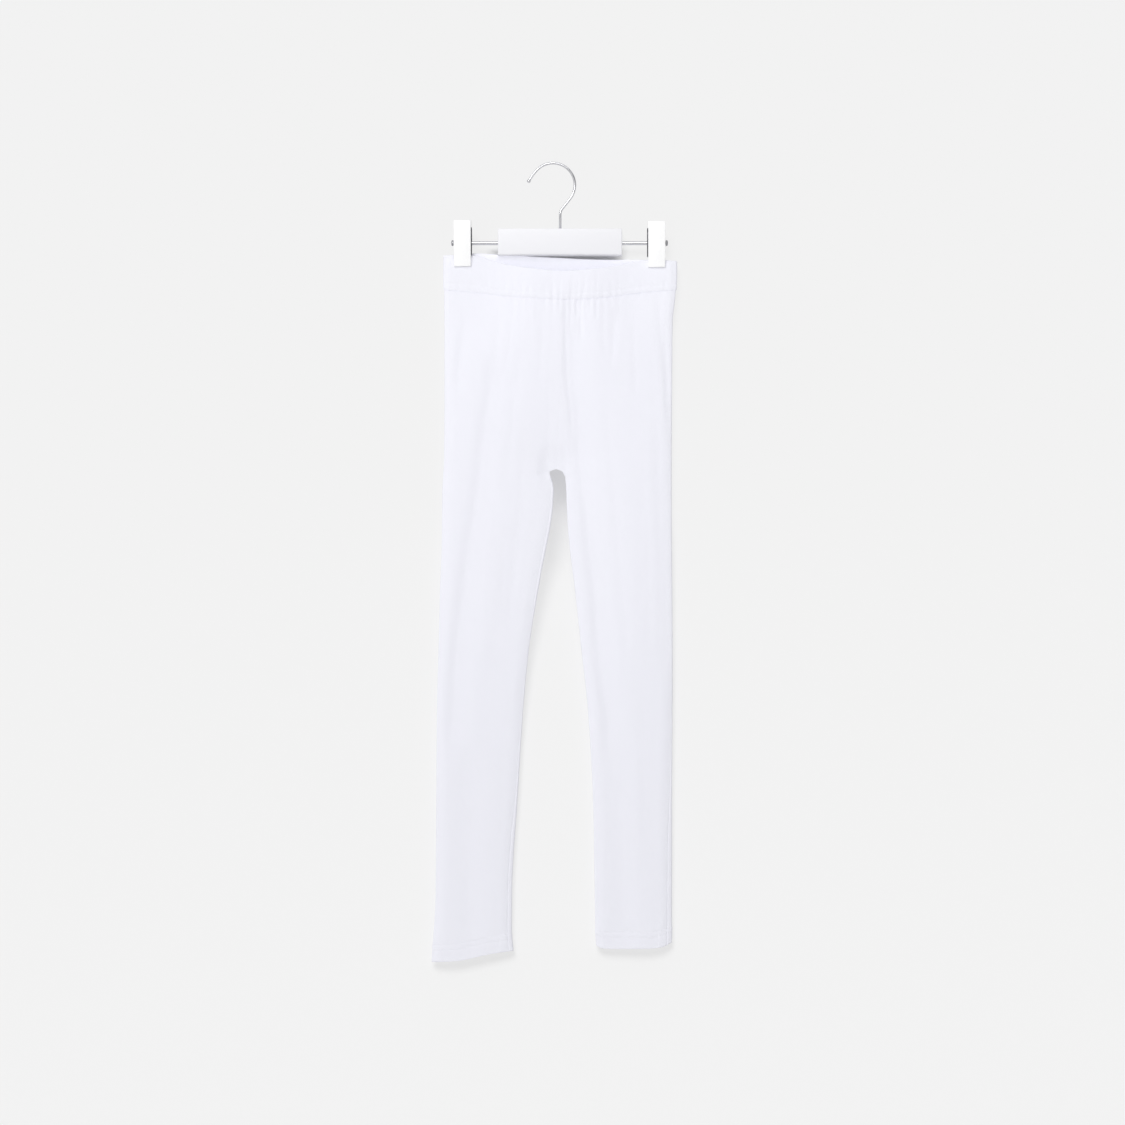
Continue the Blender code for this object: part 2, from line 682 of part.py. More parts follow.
def bore_cutter(name, radius, length, centre, axis):
    """A hidden cylinder that cuts a bore."""
    bm = bmesh.new()
    bmesh.ops.create_cone(
        bm, cap_ends=True, segments=ROUND_SIDES, radius1=radius * MM, radius2=radius * MM, depth=length * MM
    )
    mesh = bpy.data.meshes.new(name)
    bm.to_mesh(mesh)
    bm.free()
    obj = bpy.data.objects.new(name, mesh)
    bpy.context.scene.collection.objects.link(obj)
    obj.location = Vector(centre) * MM
    if axis == "X":
        obj.rotation_euler = (0.0, math.pi / 2.0, 0.0)
    obj.hide_render = True
    obj.display_type = "WIRE"
    return obj


def make_bar():
    """The white plastic bar, bored for the rod and for the hook's stem."""
    size = (BAR_LENGTH, BAR_THICKNESS, BAR_HEIGHT)
    bar = box_mesh("hanger_bar", size, (BAR_ACROSS, 0.0, -BAR_DROP), BAR_ROUNDING, "white_plastic")
    top = -(BAR_DROP - BAR_HEIGHT / 2.0)
    cutters = [
        bore_cutter("rod_bore", ROD_RADIUS + SEAM_GAP, 2.0 * BAR_LENGTH, (BAR_ACROSS, 0.0, -ROD_DROP), "X"),
        bore_cutter("stem_bore", HOOK_WIRE + SEAM_GAP, 2.0 * STEM_HOLE_DEPTH, (STEM_ACROSS, 0.0, top), "Z"),
    ]
    for cutter in cutters:
        cut = bar.modifiers.new(cutter.name, "BOOLEAN")
        cut.operation = "DIFFERENCE"
        cut.solver = "EXACT"
        cut.object = cutter


def extrude_profile(name, outline, start, end, bevel, finish):
    """A solid from a side profile of (depth, up) points, from one across position to another."""
    bm = bmesh.new()
    ends = []
    for across in (start, end):
        ends.append([bm.verts.new(Vector((across, depth, up)) * MM) for depth, up in outline])
    bm.faces.new(ends[0])
    bm.faces.new(ends[1])
    count = len(outline)
    for k in range(count):
        nxt = (k + 1) % count
        bm.faces.new((ends[0][k], ends[0][nxt], ends[1][nxt], ends[1][k]))
    bmesh.ops.recalc_face_normals(bm, faces=bm.faces)
    if bevel > 0.0:
        sides = [e for e in bm.edges if abs(e.verts[0].co.x - e.verts[1].co.x) < 0.01 * MM]
        bmesh.ops.bevel(bm, geom=sides, offset=bevel * MM, segments=1, profile=0.5, affect="EDGES")
    return finished(name, bm, finish)


def make_clip(clip):
    """A spring clip: two white jaws, a bent spring between them and a sleeve on the rod."""
    half = CLIP_WIDTH / 2.0
    start, end = clip.across - half, clip.across + half
    for jaw, facing, taller in (("front_jaw", -1.0, 0.0), ("back_jaw", 1.0, BACK_JAW_TALLER)):
        inner = [(facing * row.inner, -row.drop - clip.lowered) for row in JAW]
        outer = [(facing * row.outer, -row.drop - clip.lowered) for row in JAW]
        inner[-1] = (inner[-1][0], inner[-1][1] + taller)
        outer[-1] = (outer[-1][0], outer[-1][1] + taller)
        outline = inner + outer[::-1]
        extrude_profile(clip.name + "_" + jaw, outline, start, end, CLIP_BEVEL, "white_plastic")
    shift = clip.inward * SPRING_SHIFT
    outline = spring_outline(clip.lowered)
    spring_start, spring_end = start + SPRING_INSET + shift, end - SPRING_INSET + shift
    extrude_profile(clip.name + "_spring", outline, spring_start, spring_end, 0.0, "spring_steel")
    bore = ROD_RADIUS + SEAM_GAP
    round_bar(clip.name + "_sleeve", SLEEVE_RADIUS, start, end, ROD_DROP, "white_plastic", bore)


def spring_outline(lowered):
    """Side profile of the spring: up the front jaw, over the rod and down the back jaw."""
    lane = Curve([row.drop for row in reversed(JAW)], [row.inner for row in reversed(JAW)])
    outside = [(lane.at(drop) - SEAM_GAP, -drop - lowered) for drop in SPRING_LEGS]
    inside = [(depth - SPRING_THICKNESS, up) for depth, up in outside]
    top_depth, top_up = outside[-1]
    arch, crown = [], []
    for k in range(1, 7):
        angle = math.pi / 2.0 * k / 6
        for bend, thickness in ((arch, 0.0), (crown, SPRING_THICKNESS)):
            depth = (top_depth - thickness) * math.cos(angle)
            bend.append((depth, top_up + (SPRING_ARCH - thickness) * math.sin(angle)))
    half_out = outside + arch
    half_in = inside + crown
    outline = [(-y, z) for y, z in half_out] + [(y, z) for y, z in reversed(half_out[:-1])]
    outline += [(y, z) for y, z in half_in] + [(-y, z) for y, z in reversed(half_in[:-1])]
    return outline


def make_rod():
    """The chromed rod with a stop on each end."""
    round_bar("hanger_rod", ROD_RADIUS, ROD_LEFT, ROD_RIGHT, ROD_DROP, "chrome")
    left_start = ROD_LEFT - SEAM_GAP - STOP_THICKNESS
    right_start = ROD_RIGHT + SEAM_GAP
    for name, start in (("rod_stop_left", left_start), ("rod_stop_right", right_start)):
        round_bar(name, STOP_RADIUS, start, start + STOP_THICKNESS, ROD_DROP, "spring_steel")


def main():
    """Clear the scene and build every piece."""
    for obj in list(bpy.data.objects):
        bpy.data.objects.remove(obj, do_unlink=True)
    for layer in ("front", "back"):
        for side in ("left", "right"):
            panel_object(side, layer)
        band_object(layer)
    make_hook()
    make_bar()
    make_rod()
    for clip in CLIPS:
        make_clip(clip)


main()
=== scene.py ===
"""Looks of a child's leggings that hang flat from two spring clips on a small hanger.

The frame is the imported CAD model: metres, +Z up, +X to the right as seen from the front, and the front
of the leggings faces -Y. The origin is the seat inside the top of the hook. All sizes and tables below
are in millimetres. A drop is a distance below the origin, and across is a distance along +X.

The cloth is worked out the way the CAD solids are. Each leg is a flattened tube, and a spot tells how
far round it a point lies: 0 at the side seam, 1 to 2 over the flat part, and 3 at the inseam or the
centre seam.
"""

from __future__ import annotations

import json
import logging
import math
from collections.abc import Iterable, Mapping, Sequence
from dataclasses import dataclass, field
from enum import Enum
from typing import Any, NamedTuple

import bmesh
import bpy
import numpy as np
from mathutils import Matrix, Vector

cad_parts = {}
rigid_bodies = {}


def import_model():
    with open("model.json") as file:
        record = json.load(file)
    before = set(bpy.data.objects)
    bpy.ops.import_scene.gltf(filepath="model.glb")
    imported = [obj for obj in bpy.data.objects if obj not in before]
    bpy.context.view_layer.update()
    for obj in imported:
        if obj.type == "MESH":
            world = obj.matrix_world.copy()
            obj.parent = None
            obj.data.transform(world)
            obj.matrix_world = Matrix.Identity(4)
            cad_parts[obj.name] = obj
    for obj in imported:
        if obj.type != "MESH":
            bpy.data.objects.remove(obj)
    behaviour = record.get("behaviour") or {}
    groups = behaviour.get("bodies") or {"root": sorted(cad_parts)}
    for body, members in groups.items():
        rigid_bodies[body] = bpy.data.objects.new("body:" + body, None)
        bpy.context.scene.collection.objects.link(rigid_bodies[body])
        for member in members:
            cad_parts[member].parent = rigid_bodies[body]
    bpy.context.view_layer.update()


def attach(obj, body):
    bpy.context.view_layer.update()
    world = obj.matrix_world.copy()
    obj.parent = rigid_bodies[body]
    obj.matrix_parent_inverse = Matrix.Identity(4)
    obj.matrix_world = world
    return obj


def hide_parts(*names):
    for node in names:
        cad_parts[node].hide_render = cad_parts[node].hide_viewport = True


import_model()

logging.basicConfig(level=logging.INFO, format="%(message)s")
log = logging.getLogger("leggings")

MM = 0.001

# Drops of the waistband's folded top and seam, the crotch, and the hem's stitches and edge
BAND_TOP = 112.5
BAND_SEAM = 150.0
CROTCH_DROP = 351.7
HEM_STITCH = 888.0
HEM_EDGE = 905.0

# The rows turn round the crotch over this height, and dip a little below it
CROTCH_TURN = 34.0
CROTCH_DIP = 3.4

# Radius of a pressed edge, width of the slope behind the side's, and least half depth of the tube
EDGE_RADIUS = 1.0
SIDE_SLOPE = 12.0
LEAST_DEPTH = 0.5

# The layers part from this far above the crotch down. The web between the legs reaches to the leg's
# edge at the foot of the arch, and fades out below it.
ARCH = 32.0
ARCH_FOOT = 4.0
WEB_END = 24.0

# Share of a crease's width by which its path lies up its left flank, and the strength of the gathers
FLANK = 0.7
GATHER_SHARE = 0.65

# The waistband's sag fades out over this height, and the hem's slant begins at this drop
SAG_FADE = 110.0
SLANT_FROM = 760.0


class Side(Enum):
    """A leg, as seen from the front."""

    LEFT = "left"
    RIGHT = "right"

    @property
    def inwards(self) -> float:
        """Direction along X from the side seam to the inseam."""
        return 1.0 if self is Side.LEFT else -1.0


class Layer(Enum):
    """The front or the back of the leggings."""

    FRONT = "front"
    BACK = "back"

    @property
    def facing(self) -> float:
        """Direction along Y in which the layer looks."""
        return -1.0 if self is Layer.FRONT else 1.0

    @property
    def other(self) -> Layer:
        """The opposite layer."""
        return Layer.BACK if self is Layer.FRONT else Layer.FRONT


class OuterEdge(NamedTuple):
    """Outer edges of the legs, which hold the side seams."""

    drop: float
    left: float
    right: float


OUTER_EDGE = (
    OuterEdge(112, -125.3, 142.1),
    OuterEdge(145, -125.3, 141.8),
    OuterEdge(168, -125.0, 139.4),
    OuterEdge(185, -124.7, 137.5),
    OuterEdge(272, -124.7, 136.7),
    OuterEdge(341, -125.3, 136.3),
    OuterEdge(376, -127.1, 136.3),
    OuterEdge(445, -128.0, 136.6),
    OuterEdge(491, -129.9, 137.0),
    OuterEdge(561, -131.7, 137.4),
    OuterEdge(630, -133.5, 137.0),
    OuterEdge(734, -134.2, 136.4),
    OuterEdge(838, -135.0, 136.3),
    OuterEdge(884, -138.0, 136.2),
    OuterEdge(921, -139.8, 135.0),
)


class Inseam(NamedTuple):
    """Inner edges of the legs, from the crotch down."""

    drop: float
    left: float
    right: float


INSEAM = (
    Inseam(351.7, 3.5, 3.5),
    Inseam(355.2, -4.4, 11.6),
    Inseam(362, -2.6, 14.6),
    Inseam(376, -0.2, 16.0),
    Inseam(399, -1.2, 16.7),
    Inseam(422, -4.6, 18.0),
    Inseam(445, -9.2, 20.3),
    Inseam(491, -17.9, 26.0),
    Inseam(561, -28.9, 33.6),
    Inseam(630, -35.4, 41.0),
    Inseam(734, -42.0, 47.0),
    Inseam(838, -48.3, 48.9),
    Inseam(884, -48.6, 49.6),
    Inseam(921, -44.5, 52.5),
)


class CentreSeam(NamedTuple):
    """The centre seams lean, because the leggings hang a little askew."""

    drop: float
    front: float
    back: float


CENTRE_SEAM = (
    CentreSeam(112, 15.6, 11.6),
    CentreSeam(156, 15.2, 11.4),
    CentreSeam(230, 11.2, 8.8),
    CentreSeam(310, 5.8, 5.2),
    CentreSeam(351.7, 3.5, 3.5),
)


class Depth(NamedTuple):
    """Half depths of the flattened tube: at the side, at the inner end, and the swell between them.

    The end slope is how far from the leg's inner edge the full depth is reached.
    """

    drop: float
    side: float
    front_end: float
    front_swell: float
    back_end: float
    back_swell: float
    end_slope: float


DEPTHS = (
    Depth(112, 2.6, 10.5, 0.5, 2.6, 0.0, 8),
    Depth(150, 3.0, 11.6, 1.0, 5.0, 0.7, 8),
    Depth(200, 3.6, 11.2, 1.8, 8.0, 1.5, 8),
    Depth(270, 3.7, 8.4, 2.2, 9.2, 1.8, 9),
    Depth(320, 3.6, 4.4, 3.2, 7.4, 2.4, 13),
    Depth(352, 3.5, 2.3, 3.8, 4.6, 3.4, 16),
    Depth(450, 3.4, 2.6, 3.2, 3.8, 4.0, 14),
    Depth(600, 3.3, 2.9, 2.4, 3.6, 3.4, 12),
    Depth(750, 3.2, 2.9, 2.2, 3.5, 2.8, 12),
    Depth(921, 3.0, 2.8, 2.0, 3.4, 2.2, 12),
)


class Band(NamedTuple):
    """Top and seam of the waistband, whose front hangs slack between the clips and its back hardly."""

    across: float
    front_top: float
    back_top: float
    front_seam: float
    back_seam: float


BAND = (
    Band(-126, 106.2, 106.0, 145.0, 145.0),
    Band(-104, 105.4, 104.8, 146.5, 146.0),
    Band(-89, 106.6, 103.4, 148.0, 146.5),
    Band(-61, 114.9, 105.1, 151.5, 147.5),
    Band(-33, 120.4, 106.6, 154.2, 148.5),
    Band(0, 124.2, 108.2, 156.0, 149.5),
    Band(12, 124.9, 108.8, 156.4, 150.0),
    Band(40, 122.9, 110.2, 155.4, 150.0),
    Band(68, 119.3, 110.8, 153.0, 149.5),
    Band(95, 113.6, 110.8, 149.0, 148.0),
    Band(120, 111.4, 111.2, 146.5, 146.5),
    Band(143, 112.6, 112.4, 145.0, 145.0),
)


class Hem(NamedTuple):
    """How far each hem lies below or above HEM_EDGE, from the side seam to the inseam."""

    share: float
    left: float
    right: float


HEM = (
    Hem(0.0, 16.0, -5.8),
    Hem(0.12, 15.6, -1.4),
    Hem(0.3, 14.6, 0.2),
    Hem(0.7, 7.0, 0.6),
    Hem(0.93, 3.8, 0.2),
    Hem(1.0, 3.2, -2.6),
)


class SeamRoll(NamedTuple):
    """How far from the leg's edge a seam has rolled round towards the front."""

    drop: float
    left_side: float
    left_inseam: float
    right_side: float
    right_inseam: float


SEAM_ROLL = (
    SeamRoll(112, 0.0, 0.0, 0.0, 0.0),
    SeamRoll(355, 0.0, 0.0, 0.0, 0.0),
    SeamRoll(385, 0.0, 2.4, 0.0, 0.0),
    SeamRoll(450, 0.0, 2.6, 0.0, 0.0),
    SeamRoll(560, 0.0, 0.8, 0.1, 0.0),
    SeamRoll(700, 0.0, 1.6, 1.4, 0.0),
    SeamRoll(800, 0.0, 3.8, 4.2, 0.0),
    SeamRoll(921, 0.0, 4.2, 4.6, 0.0),
)


class Track:
    """A smooth curve through a table's points that never overshoots them."""

    def __init__(self, places: Sequence[float], values: Sequence[float]) -> None:
        """Works out the slope at every point.

        Args:
            places: Rising positions.
            values: The value at each position.
        """
        self.places = np.asarray(places, float)
        self.values = np.asarray(values, float)
        rises = np.diff(self.values) / np.diff(self.places)
        before, after = rises[:-1], rises[1:]
        same_way = before * after > 0.0
        total = np.where(same_way, before + after, 1.0)
        middle = np.where(same_way, 2.0 * before * after / total, 0.0)
        self.slopes = np.concatenate((rises[:1], middle, rises[-1:]))

    def at(self, place: np.ndarray | float) -> np.ndarray:
        """Values at places, held level beyond both ends.

        Args:
            place: One position or an array of them.

        Returns:
            The values, in the shape of place.
        """
        place = np.clip(place, self.places[0], self.places[-1])
        last = len(self.places) - 2
        i = np.clip(np.searchsorted(self.places, place, side="right") - 1, 0, last)
        step = self.places[i + 1] - self.places[i]
        t = (place - self.places[i]) / step
        start = (1 + 2 * t) * (1 - t) ** 2 * self.values[i] + t * (1 - t) ** 2 * step * self.slopes[i]
        end = t * t * (3 - 2 * t) * self.values[i + 1] - t * t * (1 - t) * step * self.slopes[i + 1]
        return start + end


def tracks(table: Sequence[NamedTuple]) -> dict[str, Track]:
    """One Track for each named column of a table, over its first column.

    Args:
        table: Rows of one NamedTuple class.

    Returns:
        The tracks by column name.
    """
    names = table[0]._fields
    places = [getattr(row, names[0]) for row in table]
    return {name: Track(places, [getattr(row, name) for row in table]) for name in names[1:]}


OUTER_EDGES = tracks(OUTER_EDGE)
INSEAMS = tracks(INSEAM)
SEAMS = tracks(CENTRE_SEAM)
DEPTH = tracks(DEPTHS)
BANDS = tracks(BAND)
HEMS = tracks(HEM)
ROLLS = tracks(SEAM_ROLL)


def ease(value: np.ndarray | float) -> np.ndarray:
    """Eases from 0 to 1."""
    t = np.clip(value, 0.0, 1.0)
    return t * t * (3.0 - 2.0 * t)


def bell(distance: np.ndarray | float, width: float) -> np.ndarray:
    """A soft bump of height 1 at distance 0."""
    return np.exp(-((np.asarray(distance) / width) ** 2))


@dataclass(frozen=True)
class Crease:
    """A soft trough that follows (drop, across) points down the cloth. A depth below 0 is a ridge.

    The lip is a low ridge along its left side, as a share of the depth. The trail is how many times
    wider its right flank is. With a trail above 1 the path follows its steeper left flank.
    """

    depth: float
    width: float
    path: tuple[tuple[float, float], ...]
    fade: float = 45.0
    lip: float = 0.0
    trail: float = 1.0

    def push(self, drop: np.ndarray, across: np.ndarray) -> np.ndarray:
        """How far the crease pushes the cloth towards the inside.

        Args:
            drop: Drops of the points.
            across: Across positions of the points.

        Returns:
            The push of every point, in millimetres.
        """
        drops, places = zip(*self.path)
        aside = across - Track(drops, places).at(drop)
        start = ease((drop - drops[0]) / self.fade + 1.0)
        end = ease((drops[-1] - drop) / self.fade + 1.0)
        if self.trail > 1.0:
            aside = aside - FLANK * self.width
        width = np.where(aside > 0.0, self.width * self.trail, self.width)
        shape = bell(aside, width) - self.lip * bell(aside + 1.8 * self.width, 1.2 * self.width)
        return self.depth * start * end * shape


@dataclass(frozen=True)
class Dent:
    """A short oval trough that lies across the cloth, turned down to the right by its slope."""

    drop: float
    across: float
    length: float
    width: float
    depth: float
    slope: float = 0.0

    def push(self, drop: np.ndarray, across: np.ndarray) -> np.ndarray:
        """How far the dent pushes the cloth towards the inside.

        Args:
            drop: Drops of the points.
            across: Across positions of the points.

        Returns:
            The push of every point, in millimetres.
        """
        along = across - self.across
        aside = drop - self.drop - self.slope * along
        return self.depth * bell(along, self.length) * bell(aside, self.width)


@dataclass(frozen=True)
class Gather:
    """A short upright pleat at the waistband's seam, deepest at the seam."""

    across: float
    depth: float
    width: float
    rise: float
    fall: float
    lean: float = 0.0

    def push(self, below: np.ndarray, across: np.ndarray) -> np.ndarray:
        """How far the gather pushes the cloth towards the inside.

        Args:
            below: How far the points lie below the waistband's seam.
            across: Across positions of the points.

        Returns:
            The push of every point, in millimetres.
        """
        aside = across - self.across - self.lean * below
        fade = np.where(below > 0.0, bell(below, self.fall), bell(below, self.rise))
        return self.depth * fade * (bell(aside, self.width) - 0.45 * bell(aside, 2.1 * self.width))


# The largest folds
FRONT_FOLDS = (
    Crease(1.3, 6.0, ((180, -105), (214, -109.7), (246, -114)), fade=28, trail=1.5),
    Crease(2.2, 8.5, ((255, -77), (307, -84.5), (376, -92.5), (445, -102.5), (514, -110.8),
                      (584, -118.6), (640, -121.5)), fade=50, trail=2.2),
    Crease(1.9, 18.0, ((720, -97), (790, -98), (870, -97)), fade=60),
    Crease(0.6, 9.5, ((470, -62), (560, -73), (632, -84)), fade=70, trail=1.8),
    Crease(2.4, 8.0, ((163, 18.4), (237, 17.6), (283, 22.5), (353, 25.8), (399, 32.5), (445, 37),
                      (491, 42.5), (561, 47.5), (584, 49.6), (640, 59)), fade=55, trail=2.2),
    Crease(1.8, 17.0, ((700, 73), (760, 76), (880, 79)), fade=60),
    Crease(1.4, 5.6, ((163, 117), (191, 121.3), (237, 127), (262, 130), (288, 133)), fade=26,
           trail=1.3),
    Crease(1.0, 8.0, ((340, 122), (420, 125), (493, 127), (560, 128)), fade=60),
)
BACK_FOLDS = (
    Crease(1.6, 8.0, ((156, -88), (215, -95), (290, -104), (370, -110), (450, -116)), lip=0.2),
    Crease(1.9, 8.0, ((200, -48), (290, -56), (380, -68), (480, -80), (590, -92), (700, -104)),
           lip=0.25),
    Crease(1.4, 8.0, ((660, -70), (740, -80), (820, -88), (900, -92))),
    Crease(2.2, 8.0, ((170, 40), (260, 46), (350, 54), (450, 66), (560, 82), (680, 96)), lip=0.25),
    Crease(1.6, 8.0, ((660, 72), (740, 83), (830, 98), (900, 104))),
    Crease(1.4, 7.0, ((150, 104), (210, 112), (290, 120), (360, 124))),
)

# Finer creases: short streaks under the waistband and soft bends lower down
FRONT_CREASES = (
    Crease(0.4, 3.6, ((158, -62), (190, -63), (222, -66)), fade=24),
    Crease(0.35, 3.2, ((160, -48), (196, -49), (220, -52)), fade=20),
    Crease(0.4, 4.5, ((166, -12), (205, -13), (240, -16)), fade=26),
    Crease(0.9, 3.2, ((159, 31.5), (190, 32.6)), fade=20),
    Crease(0.45, 3.4, ((158, 57), (190, 58), (212, 60)), fade=22),
    Crease(0.8, 4.6, ((182, 71), (214, 68)), fade=24),
    Crease(0.35, 4.0, ((160, 92), (210, 93), (250, 95)), fade=30),
    Crease(0.7, 2.2, ((157, 27.6), (166, 27.8)), fade=9),
    Crease(0.75, 2.2, ((157, 38.0), (168, 38.3)), fade=9),
    Crease(0.6, 2.1, ((157, 42.9), (165, 43.0)), fade=8),
    Crease(0.7, 2.2, ((157, 49.6), (169, 49.9)), fade=10),
    Crease(0.5, 6.0, ((236, -40), (300, -47), (345, -52)), fade=36),
    Crease(0.45, 7.0, ((300, 62), (380, 70), (470, 78), (540, 84)), fade=60),
    Crease(0.35, 7.0, ((370, 104), (450, 108), (540, 112)), fade=60),
    Crease(0.45, 7.0, ((390, -36), (440, -41), (505, -50)), fade=60),
    Crease(0.35, 8.0, ((640, 104), (720, 108), (790, 110)), fade=60),
    Crease(1.0, 3.4, ((163, 14.2), (237, 15.2), (290, 20.5)), fade=40),
)
FRONT_DENTS = (
    Dent(134, -1, 12, 13, 0.9, 0.0),
    Dent(689, -114, 16, 3.6, 0.24, 0.06),
    Dent(698, -112, 18, 3.2, 0.28, 0.1),
    Dent(707, -116, 13, 3.2, 0.22, 0.02),
    Dent(718, -110, 15, 3.6, 0.2, 0.16),
    Dent(648, -119, 12, 4.4, 0.18, -0.1),
    Dent(706, -68, 14, 4.8, 0.16, -0.12),
    Dent(398, 78, 13, 4.5, 0.16, 0.1),
    Dent(586, 92, 16, 5.0, 0.18, -0.12),
    Dent(704, 96, 15, 4.6, 0.18, 0.1),
    Dent(770, 104, 12, 4.4, 0.14, -0.2),
    Dent(842, -104, 18, 6.0, 0.2, -0.18),
)
BACK_CREASES = (
    Crease(0.45, 4.0, ((158, -70), (200, -72), (250, -76)), fade=24, lip=0.3),
    Crease(0.5, 4.2, ((158, -24), (205, -25), (262, -28)), fade=26, lip=0.3),
    Crease(0.55, 4.0, ((158, 28), (206, 29), (258, 31)), fade=26, lip=0.3),
    Crease(0.45, 4.0, ((158, 70), (200, 73), (250, 78)), fade=24, lip=0.3),
    Crease(0.6, 5.0, ((296, -26), (370, -33), (440, -44)), fade=40),
    Crease(0.5, 5.0, ((380, 92), (470, 98), (560, 104)), fade=50),
    Crease(0.5, 5.0, ((560, -66), (650, -72), (740, -76)), fade=50, lip=0.2),
    Crease(0.5, 5.0, ((560, 62), (650, 68), (730, 72)), fade=50, lip=0.2),
    Crease(0.45, 5.0, ((760, -116), (820, -118), (880, -120)), fade=40),
)
BACK_DENTS = (
    Dent(588, -86, 20, 4.0, 0.4, 0.08),
    Dent(602, -94, 17, 3.2, 0.45, 0.14),
    Dent(614, -82, 15, 3.0, 0.3, 0.02),
    Dent(594, 88, 19, 3.6, 0.42, -0.1),
    Dent(607, 80, 16, 3.0, 0.34, -0.16),
    Dent(620, 92, 13, 3.2, 0.28, 0.04),
    Dent(340, -22, 20, 5.0, 0.5, 0.42),
    Dent(342, 30, 20, 5.0, 0.5, -0.42),
    Dent(356, -36, 16, 4.0, 0.35, 0.5),
    Dent(356, 45, 16, 4.0, 0.35, -0.5),
)

# Gathers that the elastic makes, strongest round the centre
FRONT_GATHERS = (
    Gather(-88, 0.3, 2.4, 22, 16, -0.03),
    Gather(-76, 0.42, 2.6, 26, 20, -0.04),
    Gather(-66, 0.5, 2.2, 24, 30, -0.03),
    Gather(-55, 0.62, 2.4, 27, 22, -0.02),
    Gather(-45, 0.85, 2.3, 28, 34, -0.02),
    Gather(-36, 0.95, 2.5, 30, 24, -0.03),
    Gather(-27, 0.6, 2.1, 22, 40, 0.0),
    Gather(-18.5, 1.0, 2.5, 27, 26, -0.01),
    Gather(-9, 0.7, 2.1, 20, 18, 0.02),
    Gather(0, 1.25, 2.5, 27, 15, 0.03),
    Gather(7.5, 1.2, 2.1, 24, 13, -0.04),
    Gather(21, 1.0, 2.2, 28, 38, -0.05),
    Gather(27.5, 1.15, 2.0, 20, 30, -0.03),
    Gather(34, 1.1, 2.2, 26, 24, -0.12),
    Gather(42.5, 0.9, 2.2, 18, 32, -0.06),
    Gather(50, 0.95, 2.4, 30, 18, 0.0),
    Gather(58, 0.6, 2.2, 17, 28, 0.0),
    Gather(67, 0.62, 2.3, 24, 22, 0.02),
    Gather(76, 0.72, 2.5, 30, 26, 0.02),
    Gather(86, 0.42, 2.3, 18, 18, 0.02),
    Gather(97, 0.34, 2.6, 22, 20, 0.03),
    Gather(110, 0.26, 2.6, 14, 12, 0.03),
)
BACK_GATHERS = (
    Gather(-92, 0.32, 2.6, 22, 18, -0.03),
    Gather(-79, 0.45, 2.5, 26, 24, -0.03),
    Gather(-67, 0.55, 2.4, 25, 30, -0.02),
    Gather(-56, 0.62, 2.3, 27, 22, -0.02),
    Gather(-46, 0.8, 2.4, 27, 34, -0.01),
    Gather(-35, 0.85, 2.3, 24, 22, 0.0),
    Gather(-25, 0.7, 2.2, 26, 28, 0.0),
    Gather(-15, 0.95, 2.4, 27, 36, 0.0),
    Gather(-5, 0.8, 2.2, 22, 20, 0.0),
    Gather(3.5, 0.9, 2.1, 26, 26, 0.0),
    Gather(20, 0.9, 2.2, 27, 30, 0.01),
    Gather(29, 0.85, 2.3, 22, 24, 0.0),
    Gather(39, 0.8, 2.3, 27, 34, 0.01),
    Gather(49, 0.6, 2.2, 24, 20, 0.02),
    Gather(60, 0.7, 2.4, 27, 28, 0.02),
    Gather(71, 0.5, 2.4, 25, 24, 0.03),
    Gather(83, 0.42, 2.5, 24, 20, 0.03),
    Gather(96, 0.36, 2.6, 20, 16, 0.03),
)


class Shape(NamedTuple):
    """All that shapes the surface of one layer."""

    folds: tuple[Crease, ...]
    creases: tuple[Crease, ...]
    dents: tuple[Dent, ...]
    gathers: tuple[Gather, ...]


SHAPES = {
    Layer.FRONT: Shape(FRONT_FOLDS, FRONT_CREASES, FRONT_DENTS, FRONT_GATHERS),
    Layer.BACK: Shape(BACK_FOLDS, BACK_CREASES, BACK_DENTS, BACK_GATHERS),
}


@dataclass(frozen=True)
class Rows:
    """Rows of a cloth: the drops of both ends, and the turn of the inner end round the crotch."""

    outer: np.ndarray
    inner: np.ndarray
    turn: np.ndarray

    @classmethod
    def level(cls, drops: Iterable[float]) -> Rows:
        """Level rows at the given drops, above the crotch."""
        drop = np.asarray(list(drops), float)[:, None]
        return cls(drop, drop, np.zeros_like(drop))


